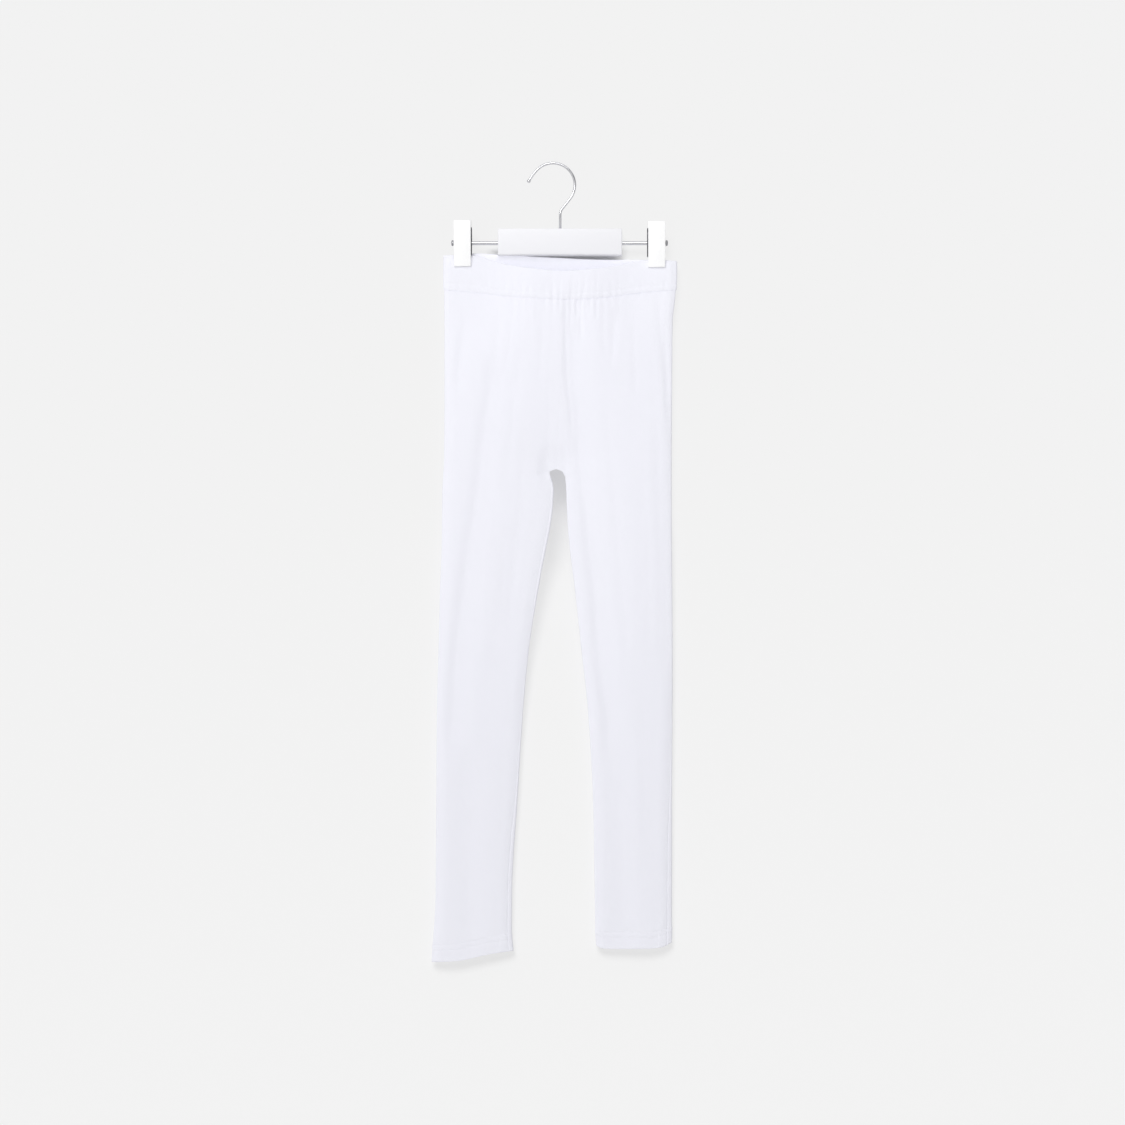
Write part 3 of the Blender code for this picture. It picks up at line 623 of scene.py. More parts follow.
class EdgeForm:
    """Profile of a pressed edge: a small round fold, then a soft slope up to the full depth."""

    def __init__(self, full: np.ndarray, slope: np.ndarray | float) -> None:
        """Fits the round fold to the slope behind it.

        Args:
            full: Half depths of the flattened tube beyond the slope, in millimetres.
            slope: Width of the slope.
        """
        self.full = full
        self.slope = slope
        steep = 2.0 * np.maximum(full - 0.95 * EDGE_RADIUS, 0.1) / slope
        self.turn = np.arctan2(1.0, steep)
        self.reach = EDGE_RADIUS * (1.0 - np.cos(self.turn))
        self.rise = EDGE_RADIUS * np.sin(self.turn)

    def share(self, distance: np.ndarray) -> np.ndarray:
        """Share of the full depth at a distance from the edge."""
        near = np.clip(distance, 0.0, self.reach)
        fold = np.sqrt(near * (2.0 * EDGE_RADIUS - near))
        left = 1.0 - np.clip((distance - self.reach) / self.slope, 0.0, 1.0)
        rising = self.rise + (self.full - self.rise) * (1.0 - left ** 2)
        return np.where(distance < self.reach, fold, rising) / self.full

    def distance(self, part: np.ndarray) -> np.ndarray:
        """Distance from the edge of a point on the round fold, whose part runs from 0 to 1."""
        return EDGE_RADIUS * (1.0 - np.cos(self.turn * part))

    def spot(self, distance: np.ndarray, flat_width: np.ndarray) -> np.ndarray:
        """The spot, counted from the edge, of a point at a distance from it."""
        on_fold = np.arccos(1.0 - np.minimum(distance, self.reach) / EDGE_RADIUS) / self.turn
        return np.where(distance < self.reach, on_fold, 1.0 + (distance - self.reach) / flat_width)


class Place(NamedTuple):
    """Where points of a layer lie in the flattened tube.

    The reach is the distance from the side's edge, out of the row's width. The web is the part of the
    width beyond the leg's own inner edge, where the legs meet. Seamed is 1 where they are joined and 0
    below the crotch. Free is 0 where a clip presses the layers together and 1 away from it.
    """

    across: np.ndarray
    drop: np.ndarray
    reach: np.ndarray
    width: np.ndarray
    web: np.ndarray
    seamed: np.ndarray
    free: np.ndarray

    @property
    def from_leg(self) -> np.ndarray:
        """Distance from the leg's inner edge."""
        return np.maximum(self.width - self.reach - self.web, 0.0)


@dataclass(frozen=True)
class LegForm:
    """The middle of one leg's cloth as a function of spots and rows."""

    side: Side
    creased_from_side: float = 8.0
    creased_from_inner: float = 9.0
    gathered_from_side: float = 3.0
    gathered_at_clip: float = 0.35
    pinch_depth: float = 2.4
    pinch_across: tuple[float, float] = (34.0, 70.0)
    pinch_down: tuple[float, float] = (120.0, 120.0)

    def released(self, across: np.ndarray, drop: np.ndarray) -> np.ndarray:
        """How free the layers hang: 0 where a clip presses them together, 1 away from it."""
        from_side = np.abs(across - OUTER_EDGES[self.side.value].at(drop))
        beside = ease((from_side - self.pinch_across[0]) / self.pinch_across[1])
        below = ease((drop - self.pinch_down[0]) / self.pinch_down[1])
        return 1.0 - (1.0 - beside) * (1.0 - below)

    def ends(self, layer: Layer, rows: Rows) -> tuple[np.ndarray, np.ndarray]:
        """Across positions of both ends of the rows, at the side and at the inner edge."""
        outer = OUTER_EDGES[self.side.value].at(rows.outer)
        centre = SEAMS[layer.value].at(rows.inner)
        inner = np.where(rows.inner <= CROTCH_DROP, centre, INSEAMS[self.side.value].at(rows.inner))
        return outer, inner

    def edges(self, layer: Layer, rows: Rows) -> tuple[EdgeForm, EdgeForm, np.ndarray]:
        """The side edge, the inner edge, and the width of the flat cloth between their folds."""
        outer, inner = self.ends(layer, rows)
        side = EdgeForm(DEPTH["side"].at(rows.outer), SIDE_SLOPE)
        end = EdgeForm(DEPTH[layer.value + "_end"].at(rows.inner), DEPTH["end_slope"].at(rows.inner))
        return side, end, np.abs(inner - outer) - side.reach - end.reach

    def place(self, layer: Layer, spot: np.ndarray, rows: Rows) -> Place:
        """Where the points of one layer lie, for spots from 0 to 3."""
        outer, inner = self.ends(layer, rows)
        width = np.abs(inner - outer)
        side, end, flat_width = self.edges(layer, rows)
        from_fold = np.clip(3.0 - spot, 0.0, 1.0)
        seamed = 1.0 - ease((rows.inner - CROTCH_DROP + ARCH) / ARCH)
        to_end = seamed * end.reach * from_fold + (1.0 - seamed) * end.distance(from_fold)
        reach = side.distance(np.clip(spot, 0.0, 1.0)) + flat_width * np.clip(spot - 1.0, 0.0, 1.0)
        reach = np.where(spot > 2.0, width - to_end, reach)
        leg_start = INSEAMS[self.side.value].at(np.maximum(rows.inner, CROTCH_DROP + ARCH_FOOT))
        across = outer + self.side.inwards * reach
        drop = rows.outer + (rows.inner - rows.outer) * reach / width
        free = self.released(across, drop)
        return Place(across, drop, reach, width, np.abs(inner - leg_start), seamed, free)

    def plain_depth(self, layer: Layer, place: Place, rows: Rows) -> np.ndarray:
        """Half depth of the tube with its edges and the clips' pinch, before it is creased."""
        side, end, _ = self.edges(layer, rows)
        swell = DEPTH[layer.value + "_swell"].at((rows.outer + rows.inner) / 2.0)
        leg_width = place.width - place.web - side.reach - end.reach
        over = np.clip((place.reach - side.reach) / leg_width, 0.0, 1.0)
        depth = side.full + (end.full - side.full) * ease(over) + swell * np.sin(math.pi * over)
        webbed = 1.0 - ease((rows.inner - CROTCH_DROP) / WEB_END)
        rising = webbed * ease(place.from_leg / end.slope) + (1.0 - webbed) * end.share(place.from_leg)
        depth = depth * side.share(place.reach) * (place.seamed + (1.0 - place.seamed) * rising)
        pinched = self.pinch_depth + (depth - self.pinch_depth) * place.free
        return np.where(depth > self.pinch_depth, pinched, depth)

    def creased_depth(self, layer: Layer, place: Place, depth: np.ndarray) -> np.ndarray:
        """Half depth with the folds, creases, dents and gathers, which fade out towards the edges."""
        seamed = place.seamed
        from_inner = seamed + (1.0 - seamed) * ease(place.from_leg / self.creased_from_inner)
        push = place.free * ease(place.reach / self.creased_from_side) * from_inner
        hanging = self.gathered_at_clip + (1.0 - self.gathered_at_clip) * place.free
        gathered = GATHER_SHARE * hanging * ease(place.reach / self.gathered_from_side) * from_inner
        shape, pushed = SHAPES[layer], depth
        for crease in shape.folds + shape.creases + shape.dents:
            pushed = pushed - push * crease.push(place.drop, place.across)
        for gather in shape.gathers:
            pushed = pushed - gathered * gather.push(place.drop - BAND_SEAM, place.across)
        return np.maximum(pushed, np.minimum(depth, LEAST_DEPTH))

    def layer_point(
        self, layer: Layer, spot: np.ndarray, rows: Rows
    ) -> tuple[np.ndarray, np.ndarray]:
        """Points of one layer, for spots from 0 to 3.

        Args:
            layer: The front or the back.
            spot: Spots, one row of them for each row of the panel.
            rows: The rows.

        Returns:
            The points, and the drops that they have in the flat cloth.
        """
        place = self.place(layer, spot, rows)
        depth = self.creased_depth(layer, place, self.plain_depth(layer, place, rows))
        up = -self.hung_drop(layer, place)
        return np.stack((place.across, layer.facing * depth, up), axis=-1), place.drop

    def evened(self, layer: Layer, fine: np.ndarray, rows: Rows, shares: np.ndarray) -> np.ndarray:
        """Spots that lie at equal shares of every row's length.

        Args:
            layer: The front or the back.
            fine: Many spots, one row of them for each row of the cloth.
            rows: The rows.
            shares: Shares of a row's length, from 0 to 1.

        Returns:
            The spots.
        """
        run = lengths_along(self.point(layer, fine, rows)[0])
        return np.stack([np.interp(shares * line[-1], line, spot) for line, spot in zip(run, fine)])

    def hung_drop(self, layer: Layer, place: Place) -> np.ndarray:
        """Drop with the slack of the waistband and the slant of the hem."""
        drop, share = place.drop, place.reach / place.width
        top = BANDS[layer.value + "_top"].at(place.across)
        seam = BANDS[layer.value + "_seam"].at(place.across)
        in_band = top + (seam - top) * (drop - BAND_TOP) / (BAND_SEAM - BAND_TOP)
        waist = (seam - BAND_SEAM) * (1.0 - ease((drop - BAND_SEAM) / SAG_FADE))
        hem = HEMS[self.side.value].at(share) * ease((drop - SLANT_FROM) / (HEM_EDGE - SLANT_FROM))
        return np.where(drop < BAND_SEAM, in_band, drop + waist + hem)

    def point(self, layer: Layer, spot: np.ndarray, rows: Rows) -> tuple[np.ndarray, np.ndarray]:
        """Points for any spots: below 0 and above 3 they come round onto the other layer."""
        back_round = (spot < 0.0) | (spot > 3.0)
        folded = np.where(spot > 3.0, 6.0 - spot, np.abs(spot))
        own, own_drop = self.layer_point(layer, folded, rows)
        if not back_round.any():
            return own, own_drop
        other, other_drop = self.layer_point(layer.other, folded, rows)
        points = np.where(back_round[..., None], other, own)
        return points, np.where(back_round, other_drop, own_drop)


def lengths_along(points: np.ndarray) -> np.ndarray:
    """Distance along each row of points from its first one."""
    steps = np.linalg.norm(np.diff(points, axis=1), axis=-1)
    return np.concatenate((np.zeros((len(points), 1)), np.cumsum(steps, axis=1)), axis=1)


def unit(vectors: np.ndarray) -> np.ndarray:
    """Vectors at length 1."""
    return vectors / np.maximum(np.linalg.norm(vectors, axis=-1, keepdims=True), 1e-12)


def grid_normals(points: np.ndarray, outward: float) -> np.ndarray:
    """Unit normals of a grid of points, on the side of Y that outward names at the grid's middle."""
    found = unit(np.cross(np.gradient(points, axis=1), np.gradient(points, axis=0)))
    middle = found[len(found) // 2, found.shape[1] // 2]
    return found if middle[1] * outward > 0.0 else -found


def wander(place: np.ndarray, drop: np.ndarray, seed: float) -> np.ndarray:
    """Slow unevenness of hanging cloth, between about -1 and 1, longer down the cloth than across it.

    Args:
        place: Positions along the rows.
        drop: Drops of the points.
        seed: A number that moves the pattern.

    Returns:
        The unevenness of every point.
    """
    found = np.zeros_like(place)
    waves = ((61, 240, 0.4), (27, 150, 0.3), (13, 83, 0.2))
    for k, (across_wave, down_wave, share) in enumerate(waves):
        bend = 1.7 * np.sin(drop / (down_wave * 0.71) + 2.3 * k + seed)
        found = found + share * np.sin(place / across_wave * 6.3 + bend + 1.9 * k + 3.1 * seed)
        found = found * (0.85 + 0.15 * np.sin(drop / down_wave * 6.3 + seed))
    return found


def grid_faces(rows: int, columns: int) -> np.ndarray:
    """Corner numbers of the faces of a grid of points."""
    numbers = np.arange(rows * columns).reshape(rows, columns)
    return np.stack(
        (numbers[:-1, :-1], numbers[:-1, 1:], numbers[1:, 1:], numbers[1:, :-1]), axis=-1
    ).reshape(-1, 4)


def mesh_object(
    name: str, points: np.ndarray, faces: Sequence[Sequence[int]]
) -> bpy.types.Object:
    """A smooth-shaded object from points in millimetres.

    Args:
        name: Name of the object and its mesh.
        points: The points, as rows of three numbers.
        faces: Corner numbers of each face.

    Returns:
        The object, linked to the scene.
    """
    mesh = bpy.data.meshes.new(name)
    mesh.from_pydata((np.asarray(points).reshape(-1, 3) * MM).tolist(), [], [list(f) for f in faces])
    mesh.update()
    mesh.shade_smooth()
    made = bpy.data.objects.new(name, mesh)
    bpy.context.scene.collection.objects.link(made)
    return made


def keep_rim_crisp(mesh: bpy.types.Mesh, rows: int, columns: int) -> None:
    """Marks the rim of a grid as sharp, so that the cut edge of the cloth doesn't shade its skin."""
    ends = np.empty(2 * len(mesh.edges), dtype=np.int32)
    mesh.edges.foreach_get("vertices", ends)
    row, column = np.divmod(ends.reshape(-1, 2), columns)
    rim = np.zeros(len(mesh.edges), dtype=bool)
    for place, last in ((row, rows - 1), (column, columns - 1)):
        rim |= (place == 0).all(axis=1) | (place == last).all(axis=1)
    sharp = mesh.attributes.get("sharp_edge") or mesh.attributes.new("sharp_edge", "BOOLEAN", "EDGE")
    sharp.data.foreach_set("value", rim)


def cloth_object(
    name: str, skin: np.ndarray, flat: np.ndarray, outward: float, thickness: float
) -> bpy.types.Object:
    """A cloth wall from the grid of its outer skin.

    Args:
        name: Name of the piece.
        skin: Points of the outer skin, in millimetres.
        flat: Where each point lies in the flat cloth, in millimetres. The UV map has it in metres.
        outward: Direction along Y in which the skin looks.
        thickness: Thickness of the cloth in millimetres, laid inside the skin.

    Returns:
        The cloth, with a live Solidify modifier.
    """
    rows, columns = skin.shape[:2]
    faces = grid_faces(rows, columns)
    a, b, c = (skin.reshape(-1, 3)[faces[len(faces) // 7, k]] for k in range(3))
    if np.cross(b - a, c - a)[1] * outward < 0.0:
        faces = faces[:, ::-1]
    made = mesh_object(name, skin, faces)
    places = flat.reshape(-1, 2)[faces.reshape(-1)] * MM
    made.data.uv_layers.new(name="flat_cloth").data.foreach_set("uv", places.astype(np.float32).ravel())
    keep_rim_crisp(made.data, rows, columns)
    wall = made.modifiers.new("thickness", "SOLIDIFY")
    wall.thickness = thickness * MM
    wall.offset = -1.0
    wall.use_even_offset = False
    return made


def stitch_groove(along: np.ndarray, aside: np.ndarray, phase: float, depth: float) -> np.ndarray:
    """Groove along a row of stitches, deepest at every stitch."""
    return depth * (0.75 + 0.25 * np.sin(along / 1.25 * math.pi + phase)) * bell(aside, 0.9)


def ruching(along: np.ndarray, seed: float) -> np.ndarray:
    """Small uneven ripples that an elastic seam makes along itself, between -1 and 1."""
    return np.sin(along / 1.9 + seed + np.sin(along / 7.0))


def spread(count: int, denser: float) -> np.ndarray:
    """Shares from 0 to 1, denser at both ends."""
    t = np.linspace(0.0, 1.0, count)
    return t - denser * np.sin(2.0 * math.pi * t) / (2.0 * math.pi)


# Shares of a row at which its length is measured, closer together over the round edges
FINE_SHARES = spread(420, 0.9)


@dataclass
class Cloth:
    """What the panels and the waistband share: the outer skin, kept for the sewing and the cut."""

    skin: np.ndarray = field(init=False, repr=False)
    drops: np.ndarray = field(init=False, repr=False)
    out: np.ndarray = field(init=False, repr=False)

    def line_at(self, drop: float, lift: float) -> np.ndarray:
        """The skin's line at a drop of the flat cloth.

        Args:
            drop: The drop.
            lift: Height above the skin.

        Returns:
            Points along the line.
        """
        found = []
        for j in range(self.skin.shape[1]):
            column = self.drops[:, j]
            i = int(np.clip(np.searchsorted(column, drop), 1, len(column) - 1))
            t = (drop - column[i - 1]) / (column[i] - column[i - 1])
            point = self.skin[i - 1, j] * (1.0 - t) + self.skin[i, j] * t
            found.append(point + self.out[i, j] * lift)
        return np.array(found)


@dataclass
class Panel(Cloth):
    """One cut panel of a leg, from the waistband's seam to its hem, which is turned up inside."""

    side: Side
    layer: Layer
    columns: int = 104
    body_rows: int = 92
    body_bunching: float = 1.15
    body_ends_above: float = 14.0
    turn_marks: int = 5
    turn_step: float = 10.0
    dips: tuple[float, ...] = (0.16, 0.52, 1.0, 2.4, 4.6)
    dip_step: float = 6.5
    crotch_rows: int = 34
    leg_rows: int = 184
    leg_bunching: float = 1.12
    leg_ends_above: float = 8.0
    hem_rows: int = 14
    fold_steps: int = 8
    turned_rows: int = 23
    skin_out: float = 0.75
    cloth: float = 0.6
    hem_out: float = 0.95
    hem_inside: float = -0.4
    stitch_rows: tuple[float, float] = (885.4, 891.4)
    unevenness: float = 0.1
    seam_groove: float = 0.07
    rolled_groove: float = 0.24
    groove_width: float = 0.7
    pucker: float = 0.09
    allowance: float = 6.0
    allowance_lift: float = 0.3
    overlap_width: float = 9.6
    hem_overlap: float = 0.28
    hem_groove: float = 0.3
    hem_ripple: float = 0.18
    waist_ruching: float = 0.1
    tuck: float = 0.4
    drawn_in: float = 0.35
    under_band: float = 1.6

    @property
    def name(self) -> str:
        """Name of the piece."""
        return f"{self.layer.value}_panel_{self.side.value}"

    @property
    def stitches_name(self) -> str:
        """Name of its rows of stitches."""
        return f"hem_stitches_{self.layer.value}_{self.side.value}"

    @property
    def stitch_drops(self) -> tuple[float, ...]:
        """Drops of its rows of stitches."""
        return self.stitch_rows

    def rows(self) -> Rows:
        """Rows from the waistband's seam to the hem, closer together at the waist, crotch and hem."""
        turn_start = CROTCH_DROP - CROTCH_TURN
        body_end = turn_start - self.body_ends_above
        start = BAND_SEAM - self.under_band
        part = np.linspace(0.0, 1.0, self.body_rows, endpoint=False)
        body = start + (body_end - start) * part ** self.body_bunching
        marks = [(body_end, body_end, 0.0)]
        for i in range(self.turn_marks):
            turned = i / (self.turn_marks - 1)
            inner = turn_start + CROTCH_TURN * math.sin(math.pi / 2.0 * turned)
            marks.append((turn_start + self.turn_step * (i - 0.5), inner, turned))
        start = marks[-1][0]
        for i, dip in enumerate(self.dips, start=1):
            marks.append((start + self.dip_step * i, CROTCH_DROP + CROTCH_DIP * dip, 1.0))
        numbers = np.arange(len(marks))
        at = np.linspace(0.0, len(marks) - 1.0, self.crotch_rows, endpoint=False)
        crotch = [Track(numbers, column).at(at) for column in zip(*marks)]
        outer_start, inner_start, _ = marks[-1]
        leg_end = HEM_STITCH - self.leg_ends_above
        step = np.linspace(0.0, 1.0, self.leg_rows)
        leg_outer = outer_start + (leg_end - outer_start) * step
        leg_inner = inner_start + (leg_end - inner_start) * step ** self.leg_bunching
        hem = np.linspace(leg_end, HEM_EDGE - self.fold_radius, self.hem_rows * 2 + 1)[1:]
        outer = np.concatenate((body, crotch[0], leg_outer, hem))
        inner = np.concatenate((body, crotch[1], leg_inner, hem))
        turn = np.concatenate((0.0 * body, crotch[2], np.ones(len(leg_outer) + len(hem))))
        return Rows(outer[:, None], inner[:, None], turn[:, None])

    @property
    def seed(self) -> float:
        """A number that makes this panel uneven in its own way."""
        own = 0.4 if self.side is Side.LEFT else 1.7
        return own + (0.0 if self.layer is Layer.FRONT else 2.9)

    @property
    def fold_radius(self) -> float:
        """Radius of the outer skin where the hem turns up."""
        return (self.hem_out - self.hem_inside) / 2.0

    def seam_spots(self, rows: Rows) -> tuple[np.ndarray, np.ndarray]:
        """Spots of the side seam and the inner seam, which may have rolled round to the front."""
        side_edge, inner_edge, flat_width = LegForm(self.side).edges(Layer.FRONT, rows)
        side_roll = ROLLS[self.side.value + "_side"].at(rows.outer)
        inner_roll = ROLLS[self.side.value + "_inseam"].at(rows.inner) * (rows.turn >= 1.0)
        side = side_edge.spot(side_roll, flat_width)
        inner = inner_edge.spot(inner_roll, flat_width)
        if self.layer is Layer.FRONT:
            return side, 3.0 - inner
        return -side, 3.0 + inner

    def grid(self, rows: Rows) -> tuple[np.ndarray, np.ndarray, np.ndarray]:
        """Points of the middle of the cloth, evenly along each row, and one more column on each side.

        Args:
            rows: The rows.

        Returns:
            The points, their drops in the flat cloth, and the distances along the rows.
        """
        form = LegForm(self.side)
        first, last = self.seam_spots(rows)
        fine = first + (last - first) * FINE_SHARES
        spots = np.empty((len(fine), self.columns + 2))
        spots[:, 1:-1] = form.evened(self.layer, fine, rows, spread(self.columns, 0.55))
        spots[:, 0] = 2.0 * spots[:, 1] - spots[:, 2]
        spots[:, -1] = 2.0 * spots[:, -2] - spots[:, -3]
        spots = np.where(rows.turn < 1.0, np.minimum(spots, 3.0), spots)
        points, drops = form.point(self.layer, spots, rows)
        open_rows = rows.turn[:, 0] < 1.0
        points[open_rows, -1] = 2.0 * points[open_rows, -2] - points[open_rows, -3]
        along = lengths_along(points[:, 1:-1])
        return points, drops[:, 1:-1], along

    def relief(self, drops: np.ndarray, along: np.ndarray, rows: Rows) -> np.ndarray:
        """Small relief along the normal: both seams, the hem, the waist and slow unevenness.

        Args:
            drops: Drops of the points in the flat cloth.
            along: Distances along the rows.
            rows: The rows.

        Returns:
            The height of every point above the plain skin.
        """
        found = self.unevenness * wander(along, drops, self.seed)
        in_hem = ease((drops - self.stitch_rows[0] + 1.2) / 1.8)
        side_roll = ROLLS[self.side.value + "_side"].at(rows.outer)
        inner_roll = ROLLS[self.side.value + "_inseam"].at(rows.inner)
        found = found + self.seam_relief(along, drops, self.seed, side_roll, in_hem)
        from_inner = along[:, -1:] - along
        found = found + self.seam_relief(from_inner, drops, self.seed + 2.0, inner_roll, in_hem)
        found = found + (self.hem_out - self.skin_out) * in_hem
        return found + self.hem_relief(along, drops) + self.waist_relief(along, drops - BAND_SEAM)

    def seam_relief(
        self, distance: np.ndarray, drops: np.ndarray, phase: float, roll: np.ndarray,
        in_hem: np.ndarray,
    ) -> np.ndarray:
        """Relief beside a seam: its groove, small puckers, and the allowances folded under it.

        Args:
            distance: Distances of the points from the seam.
            drops: Their drops.
            phase: A number that moves the puckers.
            roll: How far the seam has rolled towards the front, which deepens its groove.
            in_hem: 1 in the turned hem and 0 above it.

        Returns:
            The height of every point.
        """
        groove = self.seam_groove + (self.rolled_groove - self.seam_groove) * ease((roll - 2.0) / 1.5)
        pucker = np.sin(drops / 5.3 + phase + 1.3 * np.sin(drops / 37.0 + phase))
        found = self.pucker * pucker * bell(distance - 2.0, 3.2)
        found = found - groove * bell(distance, self.groove_width)
        found = found + self.hem_overlap * in_hem * (1.0 - ease((distance - self.overlap_width) / 0.9))
        if self.layer is Layer.BACK:
            lifted = ease(distance / 1.2) * (1.0 - ease((distance - self.allowance) / 1.4))
            found = found + self.allowance_lift * lifted
        return found

    def hem_relief(self, along: np.ndarray, drops: np.ndarray) -> np.ndarray:
        """Relief of the hem: the grooves of its stitches, and the ripple that they make."""
        ripple = np.sin(along / 6.1 + self.seed) * np.sin(along / 2.7 + 2.0 * self.seed)
        found = self.hem_ripple * ripple * bell(drops - HEM_STITCH, 9.0)
        for k, stitch in enumerate(self.stitch_rows):
            found = found - stitch_groove(along, drops - stitch, k, self.hem_groove)
        return found

    def waist_relief(self, along: np.ndarray, below_seam: np.ndarray) -> np.ndarray:
        """Relief by the waistband's seam: small ruches, and the edge drawn in and tucked under."""
        ruched = self.waist_ruching * ruching(along, self.seed) * bell(below_seam - 2.0, 5.0)
        tucked = self.tuck * (1.0 - ease((below_seam + 0.9) / 0.8))
        return ruched - tucked - self.drawn_in * (1.0 - ease((below_seam - 1.0) / 12.0))

    def build(self) -> bpy.types.Object:
        """Builds the panel with its turned hem.

        Returns:
            The cloth object, standing for its solid.
        """
        rows = self.rows()
        middle, drops, along = self.grid(rows)
        out = grid_normals(middle, self.layer.facing)[:, 1:-1]
        middle = middle[:, 1:-1]
        turning = rows.turn[:, 0] < 1.0
        out[turning, -1, 0] = 0.0
        out[turning, -1] = unit(out[turning, -1])
        height = self.skin_out + self.relief(drops, along, rows)
        skin = middle + out * height[..., None]
        down = unit(middle[-1] - middle[-3])
        base, edge_out = middle[-1], out[-1]
        turned, turned_drops = [], []
        centre = (self.hem_out + self.hem_inside) / 2.0
        for k in range(1, self.fold_steps):
            angle = math.pi * k / self.fold_steps
            lift = centre + self.fold_radius * math.cos(angle)
            turned.append(base + edge_out * lift + down * self.fold_radius * math.sin(angle))
            turned_drops.append(drops[-1] + self.fold_radius * angle)
        for k in range(1, self.turned_rows + 1):
            turned.append(middle[-k] + out[-k] * self.hem_inside)
            turned_drops.append(2.0 * drops[-1] + self.fold_radius * math.pi - drops[-k])
        self.skin, self.drops, self.out = skin, drops, out
        full_skin = np.concatenate((skin, np.stack(turned)))
        full_drops = np.concatenate((drops, np.stack(turned_drops)))
        full_along = np.concatenate((along, np.repeat(along[-1:], len(turned), axis=0)))
        flat = np.stack((full_along - full_along[:, -1:] / 2.0, full_drops), axis=-1)
        made = cloth_object(self.name, full_skin, flat, self.layer.facing, self.cloth)
        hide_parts(f"{self.layer.value}_{self.side.value}")
        return made

    def cut(self) -> tuple[float, float, float]:
        """Width and length of the flat cut in millimetres, and its area, the hem included."""
        widths = lengths_along(self.skin)[:, -1]
        drop = self.drops[:, self.columns // 2]
        turned = HEM_EDGE - self.stitch_rows[0]
        strips = (widths[1:] + widths[:-1]) / 2.0 * np.diff(drop)
        area = float(strips.sum()) + turned * widths[-1]
        length = float(self.drops.max() - self.drops.min()) + turned
        return float(widths.max()), length, area


